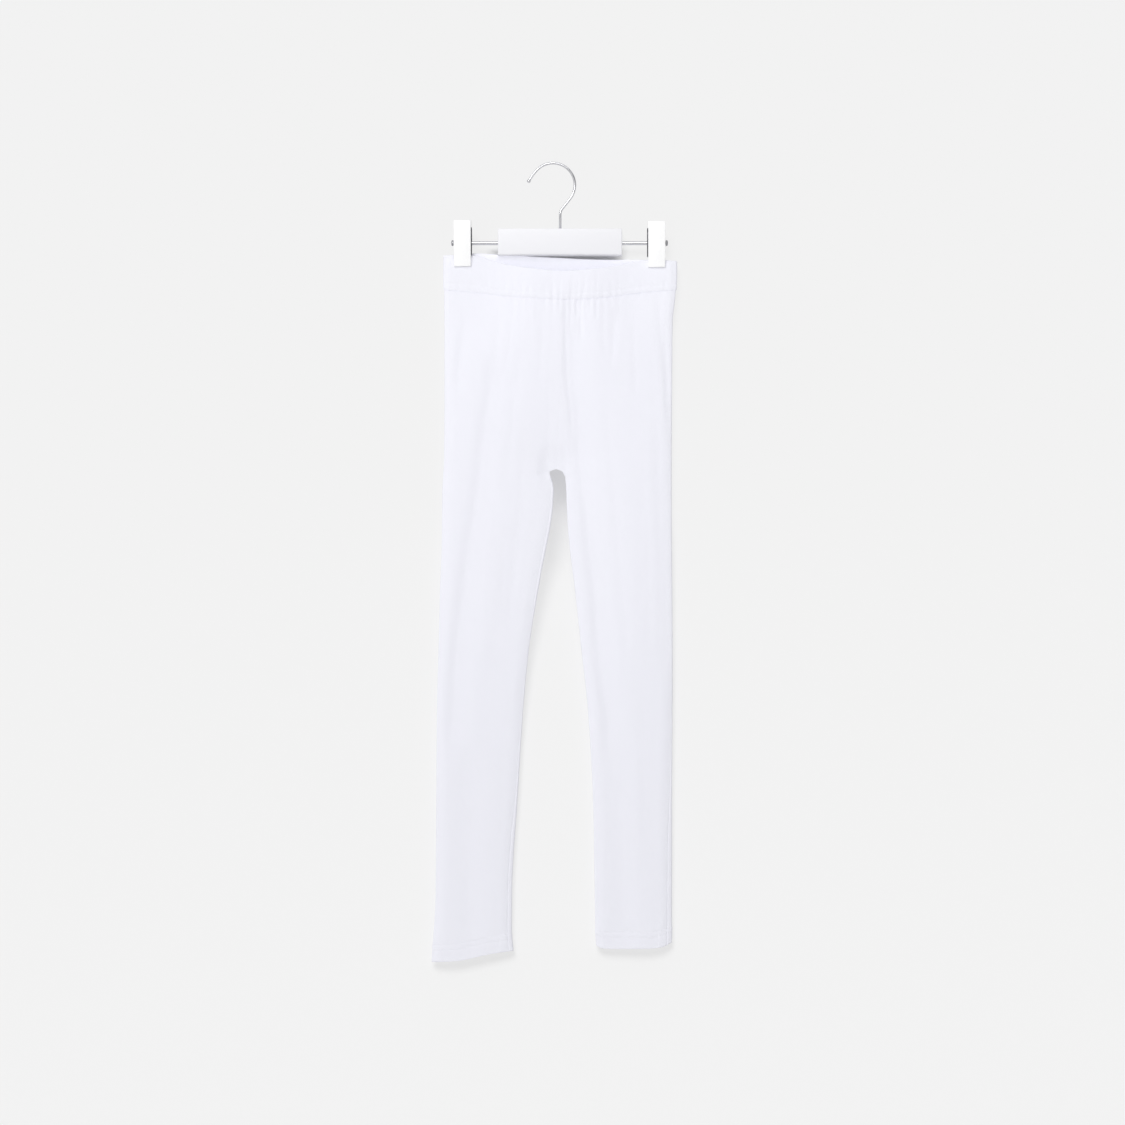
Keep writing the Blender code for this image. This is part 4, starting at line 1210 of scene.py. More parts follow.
@dataclass
class Waistband(Cloth):
    """Front or back of the elasticated waistband: a casing that is folded over at the top."""

    layer: Layer
    columns: int = 124
    face_rows: int = 42
    fold_steps: int = 7
    skin_out: float = 0.75
    inside: float = -1.45
    cloth: float = 0.7
    stitch_lift: tuple[float, float] = (1.5, 7.3)
    bunching: float = 1.18
    unevenness: float = 0.12
    elastic_swell: float = 0.25
    elastic_place: tuple[float, float] = (7.0, 36.0)
    seam_groove: float = 0.1
    tuck: float = 0.3
    stitch_depth: float = 0.22
    ruche: float = 0.13

    @property
    def name(self) -> str:
        """Name of the piece."""
        return f"waistband_{self.layer.value}_casing"

    @property
    def stitches_name(self) -> str:
        """Name of its rows of stitches."""
        return f"waistband_stitches_{self.layer.value}"

    @property
    def stitch_drops(self) -> tuple[float, ...]:
        """Drops of its rows of stitches."""
        return tuple(BAND_SEAM - lift for lift in self.stitch_lift)

    @property
    def fold_radius(self) -> float:
        """Radius of the outer skin over the folded top."""
        return (self.skin_out - self.inside) / 2.0

    def grid(self) -> tuple[np.ndarray, np.ndarray]:
        """Points of the middle of the wall from the folded top to the seam, and their drops."""
        top = BAND_TOP + self.fold_radius * 0.5
        rows = Rows.level(top + (BAND_SEAM - top) * spread(self.face_rows, 0.35))
        halves = []
        for side in (Side.LEFT, Side.RIGHT):
            form = LegForm(side)
            fine = np.repeat(3.0 * FINE_SHARES[None, :], len(rows.outer), axis=0)
            shares = np.linspace(0.0, 1.0, self.columns) ** self.bunching
            halves.append(form.point(self.layer, form.evened(self.layer, fine, rows, shares), rows))
        left, right = halves
        points = np.concatenate((left[0], right[0][:, -2::-1]), axis=1)
        drops = np.concatenate((left[1], right[1][:, -2::-1]), axis=1)
        return points, drops

    def relief(self, points: np.ndarray, drops: np.ndarray, along: np.ndarray) -> np.ndarray:
        """Small relief of the casing: seams, stitch lines, and the swell of the elastic inside."""
        centre = SEAMS[self.layer.value].at(drops)
        seed = 0.9 if self.layer is Layer.FRONT else 2.2
        above = BAND_SEAM - drops
        start, end = self.elastic_place
        found = self.unevenness * wander(along, drops * 3.0, seed)
        swell = np.sin(math.pi * np.clip((above - start) / (end - start), 0.0, 1.0))
        found = found + self.elastic_swell * swell
        for distance in (along, along[:, -1:] - along, np.abs(points[..., 0] - centre)):
            found = found - self.seam_groove * bell(distance, 0.7)
        found = found - self.tuck * (1.0 - ease(above / 1.6))
        for lift in self.stitch_lift:
            found = found - stitch_groove(along, above - lift, lift, self.stitch_depth)
        ruche = ruching(along, seed) + 0.6 * np.sin(along / 1.1 + 2.0 * seed)
        return found + self.ruche * ruche * bell(above - 4.4, 8.0)

    def build(self) -> bpy.types.Object:
        """Builds the casing with its folded top.

        Returns:
            The cloth object, standing for its solid.
        """
        middle, drops = self.grid()
        out = grid_normals(middle, self.layer.facing)
        for j in (0, -1):
            out[:, j, 1] = 0.0
            out[:, j] = unit(out[:, j])
        along = lengths_along(middle)
        height = self.skin_out + self.relief(middle, drops, along)
        skin = middle + out * height[..., None]
        radius, centre = self.fold_radius, (self.skin_out + self.inside) / 2.0
        up = unit(middle[0] - middle[2])
        rows, row_drops = [], []
        for k in range(self.face_rows - 1, 0, -1):
            rows.append(middle[k] + out[k] * self.inside)
            row_drops.append(2.0 * BAND_TOP - drops[k] - radius * math.pi)
        for k in range(self.fold_steps + 1):
            angle = math.pi * (1.0 - k / self.fold_steps)
            lift = centre + radius * math.cos(angle)
            rows.append(middle[0] + out[0] * lift + up * radius * 0.8 * math.sin(angle))
            row_drops.append(drops[0] - radius * angle)
        full = np.concatenate((np.stack(rows), skin[1:]))
        full_drops = np.concatenate((np.stack(row_drops), drops[1:]))
        full_along = np.concatenate((np.repeat(along[:1], len(rows), axis=0), along[1:]))
        flat = np.stack((full_along, full_drops), axis=-1)
        self.skin, self.drops, self.out = skin, drops, out
        made = cloth_object(self.name, full, flat, self.layer.facing, self.cloth)
        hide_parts(f"waistband_{self.layer.value}")
        return made

    def cut(self) -> tuple[float, float, float]:
        """Width and length of the casing's flat cut in millimetres, and its area."""
        width = float(lengths_along(self.skin)[:, -1].max())
        length = 2.0 * (BAND_SEAM - BAND_TOP) + self.fold_radius
        return width, length, width * length


class Wire:
    """A shader socket that takes part in Python arithmetic."""

    def __init__(self, tree: bpy.types.NodeTree, socket: bpy.types.NodeSocket) -> None:
        """Wraps an output socket of a tree."""
        self.tree = tree
        self.socket = socket

    def maths(self, operation: str, *others: Wire | float, swapped: bool = False) -> Wire:
        """Adds a Math node.

        Args:
            operation: The node's operation.
            others: Its other values.
            swapped: Whether this wire comes second.

        Returns:
            The node's result.
        """
        made = self.tree.nodes.new("ShaderNodeMath")
        made.operation = operation
        values: list[Wire | float] = [self, *others]
        if swapped:
            values.reverse()
        for entry, value in zip(made.inputs, values):
            if isinstance(value, Wire):
                self.tree.links.new(value.socket, entry)
            else:
                entry.default_value = value
        return Wire(self.tree, made.outputs[0])

    def __add__(self, other: Wire | float) -> Wire:
        """Sum."""
        return self.maths("ADD", other)

    def __sub__(self, other: Wire | float) -> Wire:
        """Difference."""
        return self.maths("SUBTRACT", other)

    def __rsub__(self, other: float) -> Wire:
        """Difference from a number."""
        return self.maths("SUBTRACT", other, swapped=True)

    def __mul__(self, other: Wire | float) -> Wire:
        """Product."""
        return self.maths("MULTIPLY", other)

    def __truediv__(self, other: Wire | float) -> Wire:
        """Quotient."""
        return self.maths("DIVIDE", other)

    def fraction(self) -> Wire:
        """What is left after the whole number."""
        return self.maths("FRACT")

    def size(self) -> Wire:
        """Value without its sign."""
        return self.maths("ABSOLUTE")

    def cosine(self) -> Wire:
        """Cosine, in radians."""
        return self.maths("COSINE")


class Recipe:
    """A material under construction, round one Principled shader."""

    def __init__(self, name: str) -> None:
        """Starts an empty material."""
        self.material = bpy.data.materials.new(name)
        self.material.use_nodes = True
        self.tree = self.material.node_tree
        self.shader = self.tree.nodes["Principled BSDF"]

    def node(
        self, kind: str, settings: Mapping[str, Any], sockets: Mapping[str, Any]
    ) -> bpy.types.Node:
        """Adds any node but a Math node.

        Args:
            kind: The node's type.
            settings: Its own properties.
            sockets: Values or wires of its input sockets, by name.

        Returns:
            The node.
        """
        made = self.tree.nodes.new(kind)
        for key, value in settings.items():
            setattr(made, key, value)
        for key, value in sockets.items():
            entry = made.inputs[key]
            if isinstance(value, Wire):
                self.tree.links.new(value.socket, entry)
            else:
                entry.default_value = value
        return made

    def wire(self, node: bpy.types.Node, output: str | int) -> Wire:
        """An output of a node."""
        return Wire(self.tree, node.outputs[output])

    def feed(self, socket: str, value: Wire) -> None:
        """Links a wire to the shader."""
        self.tree.links.new(value.socket, self.shader.inputs[socket])

    def constants(self, **values: Any) -> None:
        """Sets plain values on the shader's own sockets, with spaces for underscores in their names."""
        for key, value in values.items():
            self.shader.inputs[key.replace("_", " ")].default_value = value

    def place(self, source: str) -> Wire:
        """Texture coordinates of a named kind."""
        return self.wire(self.node("ShaderNodeTexCoord", {}, {}), source)

    def step(self, value: Wire, start: float, end: float) -> Wire:
        """A smooth step from 0 at the start to 1 at the end, which may lie below the start."""
        settings = {"interpolation_type": "SMOOTHSTEP"}
        sockets = {"Value": value, "From Min": start, "From Max": end}
        return self.wire(self.node("ShaderNodeMapRange", settings, sockets), "Result")

    def noise(self, scale: float, detail: float, vector: Wire, roughness: float = 0.5) -> Wire:
        """Noise between 0 and 1."""
        values = {"Scale": scale, "Detail": detail, "Roughness": roughness, "Vector": vector}
        return self.wire(self.node("ShaderNodeTexNoise", {"noise_dimensions": "3D"}, values), 0)

    def blend(self, factor: Wire, first: Sequence[float], second: Sequence[float]) -> Wire:
        """Colour between two others."""
        made = self.node("ShaderNodeMix", {"data_type": "RGBA"}, {"Factor": factor})
        entries = (socket for socket in made.inputs if socket.type == "RGBA")
        for entry, colour in zip(entries, (first, second)):
            entry.default_value = (*colour, 1.0)
        return Wire(self.tree, next(socket for socket in made.outputs if socket.type == "RGBA"))

    def bump(self, height: Wire, distance: float, strength: float) -> None:
        """Feeds a bump to the shader's normal."""
        values = {"Height": height, "Distance": distance, "Strength": strength}
        self.feed("Normal", self.wire(self.node("ShaderNodeBump", {}, values), "Normal"))


@dataclass(frozen=True)
class Jersey:
    """Fine cotton jersey: columns of small V-shaped loops, with a light fuzz."""

    color: tuple[float, float, float] = (0.87, 0.872, 0.934)
    deep: tuple[float, float, float] = (0.847, 0.849, 0.917)
    wale: float = 0.82
    course: float = 0.62
    slant: float = 2.6
    relief: float = 0.13

    def material(self) -> bpy.types.Material:
        """Makes the cloth's material on its flat_cloth map, whose unit is the metre."""
        made = Recipe("jersey")
        flat = made.node("ShaderNodeUVMap", {"uv_map": "flat_cloth"}, {})
        split = made.node("ShaderNodeSeparateXYZ", {}, {"Vector": made.wire(flat, "UV")})
        u, v = made.wire(split, "X"), made.wire(split, "Y")
        body = made.place("Object")
        drift = made.noise(46.0, 2.0, body)
        aside = ((u / (self.wale * MM) + drift * 0.9).fraction() * 2.0 - 1.0).size()
        loops = (v * (2.0 * math.pi / (self.course * MM)) + aside * self.slant).cosine() * 0.5 + 0.5
        rib = 1.0 - aside * aside
        fuzz = made.noise(1500.0, 3.0, body, 0.65)
        height = rib * 0.55 + loops * rib * 0.45 + fuzz * 0.5
        made.bump(height, self.relief * MM, 0.55)
        cloudy = made.noise(16.0, 3.0, body)
        # Darker between the wale columns: painted shade in the knit's grooves, mixed with a random
        # cloudy tone and the fuzz
        shade = (1.0 - rib) * 0.35 + cloudy * 0.35 + fuzz * 0.2
        made.feed("Base Color", made.blend(shade, self.color, self.deep))
        made.feed("Roughness", fuzz * 0.16 + 0.8)
        made.constants(Sheen_Weight=0.12, Sheen_Roughness=0.5, Specular_IOR_Level=0.2)
        return made.material


@dataclass(frozen=True)
class Thread:
    """Spun sewing thread, with its twist."""

    color: tuple[float, float, float] = (0.88, 0.88, 0.92)
    deep: tuple[float, float, float] = (0.78, 0.78, 0.83)

    def material(self) -> bpy.types.Material:
        """Makes the thread's material."""
        made = Recipe("sewing_thread")
        body = made.place("Object")
        values = {"Scale": 2600.0, "Distortion": 1.5, "Detail": 1.0, "Vector": body}
        settings = {"wave_type": "BANDS", "bands_direction": "DIAGONAL"}
        twist = made.wire(made.node("ShaderNodeTexWave", settings, values), "Fac")
        made.feed("Base Color", made.blend(twist * 0.6, self.color, self.deep))
        made.feed("Roughness", twist * 0.12 + 0.6)
        made.bump(twist, 0.00004, 0.5)
        made.constants(Sheen_Weight=0.1)
        return made.material


@dataclass(frozen=True)
class Plastic:
    """Smooth moulded plastic with a faint flow pattern and a soft gloss."""

    name: str
    color: tuple[float, float, float]
    deep: tuple[float, float, float]
    roughness: float = 0.34

    def material(self) -> bpy.types.Material:
        """Makes the plastic's material."""
        made = Recipe(self.name)
        body = made.place("Object")
        flow = made.noise(38.0, 3.0, body)
        grain = made.noise(2100.0, 2.0, body)
        made.feed("Base Color", made.blend(flow, self.color, self.deep))
        made.feed("Roughness", flow * 0.1 + grain * 0.06 + (self.roughness - 0.08))
        made.bump(grain * 0.6 + flow * 0.4, 0.00003, 0.3)
        made.constants(IOR=1.5, Specular_IOR_Level=0.45)
        return made.material


@dataclass(frozen=True)
class Metal:
    """Drawn or rolled metal with fine lengthways marks."""

    name: str
    color: tuple[float, float, float]
    deep: tuple[float, float, float]
    roughness: float
    marks: tuple[float, float, float]

    def material(self) -> bpy.types.Material:
        """Makes the metal's material. The marks are the scale of its pattern along X, Y and Z."""
        made = Recipe(self.name)
        body = made.place("Object")
        turned = made.node("ShaderNodeMapping", {}, {"Vector": body, "Scale": self.marks})
        lines = made.noise(1.0, 4.0, made.wire(turned, "Vector"), 0.6)
        cloud = made.noise(120.0, 3.0, body)
        made.feed("Base Color", made.blend(cloud * 0.7 + lines * 0.3, self.color, self.deep))
        made.feed("Roughness", lines * 0.14 + cloud * 0.1 + (self.roughness - 0.12))
        made.bump(lines, 0.00002, 0.25)
        made.constants(Metallic=1.0)
        return made.material


class Finishes:
    """Every finish of the leggings and the hanger, made once."""

    def __init__(self) -> None:
        """Makes the materials."""
        self.jersey = Jersey().material()
        self.thread = Thread().material()
        bar = Plastic("bar_plastic", (0.835, 0.835, 0.865), (0.82, 0.82, 0.852))
        clip = Plastic("clip_plastic", (0.96, 0.96, 0.965), (0.945, 0.945, 0.95), 0.26)
        # The back jaws get a greyer copy of the clip plastic: painted shade on the back jaw's top edge,
        # which shows above the front jaw
        shaded_clip_back = Plastic("clip_plastic_painted_shade", (0.8, 0.8, 0.805), (0.78, 0.78, 0.785), 0.3)
        chrome = Metal("chromed_wire", (0.7, 0.7, 0.72), (0.6, 0.6, 0.63), 0.17, (300, 900, 300))
        steel = Metal("turned_steel", (0.4, 0.4, 0.42), (0.3, 0.3, 0.32), 0.3, (400, 400, 400))
        spring = Metal("spring_steel", (0.12, 0.12, 0.13), (0.07, 0.07, 0.08), 0.4, (900, 200, 200))
        self.bar, self.clip, self.shaded_clip_back = bar.material(), clip.material(), shaded_clip_back.material()
        self.chrome, self.steel, self.spring = chrome.material(), steel.material(), spring.material()


def dress(piece: bpy.types.Object, finish: bpy.types.Material) -> bpy.types.Object:
    """Gives a piece its finish and its body.

    Args:
        piece: The piece.
        finish: Its material.

    Returns:
        The same piece.
    """
    piece.data.materials.clear()
    piece.data.materials.append(finish)
    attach(piece, "root")
    faces = len(piece.evaluated_get(bpy.context.evaluated_depsgraph_get()).data.polygons)
    log.info("%s: %d faces", piece.name, faces)
    return piece


@dataclass
class StitchRows:
    """Rows of machine stitches, laid by Geometry Nodes along lines on the cloth."""

    pitch: float = 2.5
    length: float = 2.15
    thickness: float = 0.42
    uneven: tuple[float, float] = (0.9, 1.06)
    seed: int = 7

    def tree(self) -> bpy.types.NodeTree:
        """Builds the node tree: it turns edges into evenly spaced stitches that follow them."""
        made = bpy.data.node_groups.new("stitches", "GeometryNodeTree")
        face = made.interface
        face.new_socket("Lines", in_out="INPUT", socket_type="NodeSocketGeometry")
        for name in ("Pitch", "Length", "Thickness"):
            face.new_socket(name, in_out="INPUT", socket_type="NodeSocketFloat")
        face.new_socket("Seed", in_out="INPUT", socket_type="NodeSocketInt")
        face.new_socket("Thread", in_out="INPUT", socket_type="NodeSocketMaterial")
        face.new_socket("Stitches", in_out="OUTPUT", socket_type="NodeSocketGeometry")
        nodes, links = made.nodes, made.links
        start, end = nodes.new("NodeGroupInput"), nodes.new("NodeGroupOutput")
        curve = nodes.new("GeometryNodeMeshToCurve")
        points = nodes.new("GeometryNodeCurveToPoints")
        points.mode = "LENGTH"
        ball = nodes.new("GeometryNodeMeshUVSphere")
        for entry, value in (("Segments", 6), ("Rings", 5), ("Radius", 0.5)):
            ball.inputs[entry].default_value = value
        size = nodes.new("ShaderNodeCombineXYZ")
        shaped = nodes.new("GeometryNodeTransform")
        turn = nodes.new("FunctionNodeAlignRotationToVector")
        turn.axis = "Z"
        vary = nodes.new("FunctionNodeRandomValue")
        vary.data_type = "FLOAT"
        for entry, value in zip(("Min", "Max"), self.uneven):
            next(s for s in vary.inputs if s.name == entry and s.type == "VALUE").default_value = value
        place = nodes.new("GeometryNodeInstanceOnPoints")
        real = nodes.new("GeometryNodeRealizeInstances")
        soft = nodes.new("GeometryNodeSetShadeSmooth")
        paint = nodes.new("GeometryNodeSetMaterial")
        for source, output, target, entry in (
            (start, "Lines", curve, "Mesh"),
            (curve, "Curve", points, "Curve"),
            (start, "Pitch", points, "Length"),
            (start, "Thickness", size, "X"),
            (start, "Thickness", size, "Y"),
            (start, "Length", size, "Z"),
            (ball, "Mesh", shaped, "Geometry"),
            (size, "Vector", shaped, "Scale"),
            (points, "Tangent", turn, "Vector"),
            (start, "Seed", vary, "Seed"),
            (points, "Points", place, "Points"),
            (shaped, "Geometry", place, "Instance"),
            (turn, "Rotation", place, "Rotation"),
            (place, "Instances", real, "Geometry"),
            (real, "Geometry", soft, "Geometry"),
            (soft, "Geometry", paint, "Geometry"),
            (start, "Thread", paint, "Material"),
            (paint, "Geometry", end, "Stitches"),
        ):
            links.new(source.outputs[output], target.inputs[entry])
        links.new(next(s for s in vary.outputs if s.type == "VALUE"), place.inputs["Scale"])
        return made

    def build(
        self, name: str, lines: Sequence[np.ndarray], thread: bpy.types.Material
    ) -> bpy.types.Object:
        """Lays stitches along every line.

        Args:
            name: Name of the piece.
            lines: Arrays of points in millimetres.
            thread: The thread's material.

        Returns:
            One mesh with all the stitches.
        """
        mesh = bpy.data.meshes.new(name + "_lines")
        edges, count = [], 0
        for line in lines:
            edges.extend((count + k, count + k + 1) for k in range(len(line) - 1))
            count += len(line)
        mesh.from_pydata((np.concatenate(lines) * MM).tolist(), edges, [])
        guide = bpy.data.objects.new(name + "_guide", mesh)
        bpy.context.scene.collection.objects.link(guide)
        rows = guide.modifiers.new("stitches", "NODES")
        rows.node_group = self.tree()
        values = {
            "Pitch": self.pitch * MM,
            "Length": self.length * MM,
            "Thickness": self.thickness * MM,
            "Seed": self.seed,
            "Thread": thread,
        }
        for item in rows.node_group.interface.items_tree:
            if item.in_out == "INPUT" and item.name in values:
                rows[item.identifier] = values[item.name]
        shape = guide.evaluated_get(bpy.context.evaluated_depsgraph_get())
        made = bpy.data.objects.new(name, bpy.data.meshes.new_from_object(shape))
        made.data.name = name
        bpy.context.scene.collection.objects.link(made)
        guide.modifiers.clear()
        bpy.data.objects.remove(guide)
        return made


@dataclass
class Leggings:
    """The whole garment: four panels, the waistband and its sewing."""

    finishes: Finishes
    panels: dict[tuple[Side, Layer], Panel] = field(default_factory=dict)
    bands: dict[Layer, Waistband] = field(default_factory=dict)
    stitch_lift: float = 0.08
    first_seed: int = 3

    @property
    def makers(self) -> dict[Any, Panel | Waistband]:
        """Every panel and then every band, by its key."""
        return {**self.panels, **self.bands}

    def build(self) -> None:
        """Builds every piece of the garment and works out the size of each flat cut."""
        cloth: dict[Any, bpy.types.Object] = {}
        for layer in Layer:
            for side in Side:
                panel = Panel(side, layer)
                self.panels[side, layer] = panel
                cloth[side, layer] = dress(panel.build(), self.finishes.jersey)
            band = Waistband(layer)
            self.bands[layer] = band
            cloth[layer] = dress(band.build(), self.finishes.jersey)
        stitches = self.sew()
        clips = ["clip_left_front_jaw_moulded", "clip_right_front_jaw_moulded"]
        for key, piece in cloth.items():
            maker = self.makers[key]
            sizes = zip(maker.cut(), (MM, MM, MM * MM))
            width, length, area = (value * factor for value, factor in sizes)
            rests_on = [self.bands[maker.layer].name] if isinstance(maker, Panel) else clips
            round(width * 1.02, 4)
            round(length * 1.01, 4)
            "hung" if isinstance(maker, Panel) else "gathered"

    def sew(self) -> dict[Any, list[bpy.types.Object]]:
        """Lays the twin rows of stitches along the waistband and both hems.

        Returns:
            The stitches of each panel and band.
        """
        found: dict[Any, list[bpy.types.Object]] = {}
        for key, maker in self.makers.items():
            lines = [maker.line_at(drop, self.stitch_lift)[1:-1] for drop in maker.stitch_drops]
            rows = StitchRows(seed=self.first_seed + len(found))
            made = rows.build(maker.stitches_name, lines, self.finishes.thread)
            found[key] = [dress(made, self.finishes.thread)]
        return found


class Jaw(NamedTuple):
    """Side profile of a clip's front jaw, from its lip up: distance from the middle plane, and drop."""

    drop: float
    inner: float
    outer: float


JAW = (
    Jaw(118.2, 3.7, 6.6),
    Jaw(115.5, 3.7, 7.2),
    Jaw(111.0, 3.7, 7.6),
    Jaw(104.0, 6.0, 9.2),
    Jaw(80.0, 8.3, 11.4),
    Jaw(65.6, 9.0, 11.8),
)


class BallPlace(NamedTuple):
    """The ball at the hook's tip: distance from its end, and thickness as a share of the wire's."""

    along: float
    swelling: float


HOOK_TIP = (
    BallPlace(0.0, 0.05),
    BallPlace(0.12, 0.55),
    BallPlace(0.45, 0.95),
    BallPlace(1.0, 1.26),
    BallPlace(1.8, 1.41),
    BallPlace(2.6, 1.38),
    BallPlace(3.2, 1.2),
    BallPlace(3.6, 1.02),
)


def finish_solid(
    piece: bpy.types.Object, crisp_from: float, round_by: float = 0.0, steps: int = 3
) -> bpy.types.Object:
    """Turns a solid's faces outwards, rounds its edges and shades it smooth between its crisp edges.

    Args:
        piece: The solid.
        crisp_from: Angle in degrees above which an edge stays crisp.
        round_by: Radius of the rounded edges in millimetres, 0 for none.
        steps: Segments of each rounding.

    Returns:
        The same solid.
    """
    shape = bmesh.new()
    shape.from_mesh(piece.data)
    bmesh.ops.recalc_face_normals(shape, faces=shape.faces)
    if round_by > 0.0:
        edges = [edge for edge in shape.edges if edge.calc_face_angle(0.0) > math.radians(30.0)]
        bmesh.ops.bevel(
            shape, geom=edges, offset=round_by * MM, segments=steps, profile=0.5, affect="EDGES"
        )
    shape.to_mesh(piece.data)
    shape.free()
    piece.data.shade_smooth()
    piece.data.set_sharp_from_angle(angle=math.radians(crisp_from))
    return piece


def ringed(name: str, rings: Sequence[np.ndarray], crisp_from: float) -> bpy.types.Object:
    """A solid through rings of equally many points, closed by a flat face at each end.

    Args:
        name: Name of the piece.
        rings: The rings, in millimetres.
        crisp_from: Angle in degrees above which an edge stays crisp.

    Returns:
        The piece.
    """
    numbers = np.arange(len(rings) * len(rings[0])).reshape(len(rings), -1)
    after = np.roll(numbers, -1, axis=1)
    faces = np.stack((numbers[:-1], after[:-1], after[1:], numbers[1:]), axis=-1).reshape(-1, 4)
    made = mesh_object(name, np.concatenate(rings), [*faces, numbers[0], numbers[-1]])
    return finish_solid(made, crisp_from)


def moulded(
    name: str, outline: Sequence[tuple[float, float]], start: float, end: float, round_by: float,
    steps: int = 3,
) -> bpy.types.Object:
    """A solid with rounded edges, from a side profile of (depth, up) points.

    Args:
        name: Name of the piece.
        outline: The profile, in millimetres.
        start: Across position of one end.
        end: Across position of the other end.
        round_by: Radius of the rounded edges in millimetres.
        steps: Segments of each rounding.

    Returns:
        The piece.
    """
    points = [(across, depth, up) for across in (start, end) for depth, up in outline]
    count = len(outline)
    faces = [list(range(count)), list(range(count, 2 * count))]
    for k in range(count):
        after = (k + 1) % count
        faces.append([k, after, count + after, count + k])
    return finish_solid(mesh_object(name, np.array(points), faces), 35.0, round_by, steps)


def turned(
    name: str, profile: Sequence[tuple[float, float]], drop: float, sides: int = 40
) -> bpy.types.Object:
    """A solid of revolution about an axis along X.

    Args:
        name: Name of the piece.
        profile: (across, radius) points, in millimetres, from one end to the other.
        drop: Drop of the axis.
        sides: Corners of each ring.

    Returns:
        The piece.
    """
    angles = np.linspace(0.0, 2.0 * math.pi, sides, endpoint=False)
    rings = []
    for across, radius in profile:
        ring = (np.full(sides, across), radius * np.cos(angles), radius * np.sin(angles) - drop)
        rings.append(np.stack(ring, axis=-1))
    return ringed(name, rings, 40.0)


@dataclass
class Hanger:
    """The hook, the bar and the rod, with a stop on each end of the rod."""

    finishes: Finishes
    wire: float = 1.6
    wire_sides: int = 24
    ball_length: float = 3.2
    hook_radius: float = 25.3
    tip_angle: float = 136.0
    tip_length: float = 15.2
    tip_flare: float = 7.0
    neck_angle: float = -38.0
    bend: float = 10.0
    stem_across: float = 8.4
    stem_hidden: float = 6.0
    bar_across: float = 8.1
    bar_size: tuple[float, float, float] = (143.2, 14.0, 31.2)
    bar_drop: float = 90.1
    bar_round: float = 1.2
    bar_lower_round: float = 2.8
    rod_radius: float = 2.4
    rod_drop: float = 90.8
    rod_ends: tuple[float, float] = (-114.6, 129.9)
    stop_radius: float = 3.4
    stop_thickness: float = 2.6
    gap: float = 0.3

    def hook_line(self) -> list[tuple[float, float, float]]:
        """Middle line of the wire as (across, up, thickness), from the ball at its tip to its stem."""
        radius = self.hook_radius
        centre = radius - self.wire
        points = []
        start = math.radians(self.tip_angle)
        tip_across = radius * math.cos(start)
        tip_up = radius * math.sin(start) - centre
        for step in np.linspace(1.0, 0.0, 12, endpoint=False):
            way = start + math.pi / 2.0 + math.radians(self.tip_flare) * step
            length = self.tip_length * step
            points.append((tip_across + length * math.cos(way), tip_up + length * math.sin(way)))
        for angle in np.radians(np.linspace(self.tip_angle, self.neck_angle, 60)):
            points.append((radius * math.cos(angle), radius * math.sin(angle) - centre))
        lean = math.radians(self.neck_angle)
        end_across, end_up = points[-1]
        bend_up = end_up - (end_across - self.stem_across) / math.tan(-lean)
        cut = self.bend * math.tan(-lean / 2.0)
        for angle in np.linspace(lean, 0.0, 10):
            across = self.stem_across + self.bend * (1.0 - math.cos(angle))
            points.append((across, bend_up - cut - self.bend * math.sin(angle)))
        points.append((self.stem_across, self.bar_size[2] / 2.0 - self.bar_drop - self.stem_hidden))
        tip, after = Vector(points[0]), Vector(points[1])
        back = (tip - after).normalized()
        ball = [tip + back * (self.ball_length - place.along) for place in HOOK_TIP]
        route = [(p.x, p.y, place.swelling) for p, place in zip(ball, HOOK_TIP)]
        return route + [(x, z, 1.0) for x, z in points[1:]]

    def hook(self) -> bpy.types.Object:
        """The wire hook as one smooth tube."""
        line = self.hook_line()
        middle = np.array([(x, 0.0, z) for x, z, _ in line])
        depth = np.array((0.0, 1.0, 0.0))
        aside = np.cross(unit(np.gradient(middle, axis=0)), depth)
        angles = np.linspace(0.0, 2.0 * math.pi, self.wire_sides, endpoint=False)[:, None]
        rings = [
            point + self.wire * swelling * (np.cos(angles) * side + np.sin(angles) * depth)
            for point, side, (_, _, swelling) in zip(middle, aside, line)
        ]
        made = ringed("hook_wire", rings, 180.0)
        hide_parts("hanger_hook")
        return made

    def bar(self) -> bpy.types.Object:
        """The moulded bar with rounded edges."""
        length, thick, high = self.bar_size
        half = thick / 2.0
        top, bottom = high / 2.0 - self.bar_drop, -high / 2.0 - self.bar_drop
        outline = [(half, bottom), (half, top), (-half, top)]
        reach = self.bar_lower_round
        for angle in np.linspace(0.0, math.pi / 2.0, 7):
            c, s = math.cos(angle), math.sin(angle)
            outline.append((-half + reach * (1.0 - c), bottom + reach * (1.0 - s)))
        start = self.bar_across - length / 2.0
        made = moulded("bar_moulded", outline, start, start + length, self.bar_round, 5)
        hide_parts("hanger_bar")
        return made

    def rod_parts(self) -> list[bpy.types.Object]:
        """The rod and its two stops."""
        left, right = self.rod_ends
        r = self.rod_radius
        profile = [(left, r * 0.75), (left + 0.4, r), (right - 0.4, r), (right, r * 0.75)]
        rod = turned("rod_drawn", profile, self.rod_drop)
        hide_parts("hanger_rod")
        found = [rod]
        thick, size = self.stop_thickness, self.stop_radius
        for name, inner, way in (("left", left - self.gap, -1.0), ("right", right + self.gap, 1.0)):
            dome = ((0.6, 1.0), (0.85, 0.86), (0.97, 0.55), (1.0, 0.12))
            profile = [(inner, size - 0.3), (inner + way * 0.3, size)]
            profile += [(inner + way * thick * far, size * share) for far, share in dome]
            stop = turned(f"rod_stop_{name}_domed", profile, self.rod_drop, 32)
            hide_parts(f"rod_stop_{name}")
            found.append(stop)
        return found

    def build(self) -> None:
        """Builds and dresses the hook, the bar and the rod."""
        dress(self.hook(), self.finishes.chrome)
        dress(self.bar(), self.finishes.bar)
        rod, *stops = self.rod_parts()
        dress(rod, self.finishes.chrome)
        for stop in stops:
            dress(stop, self.finishes.steel)


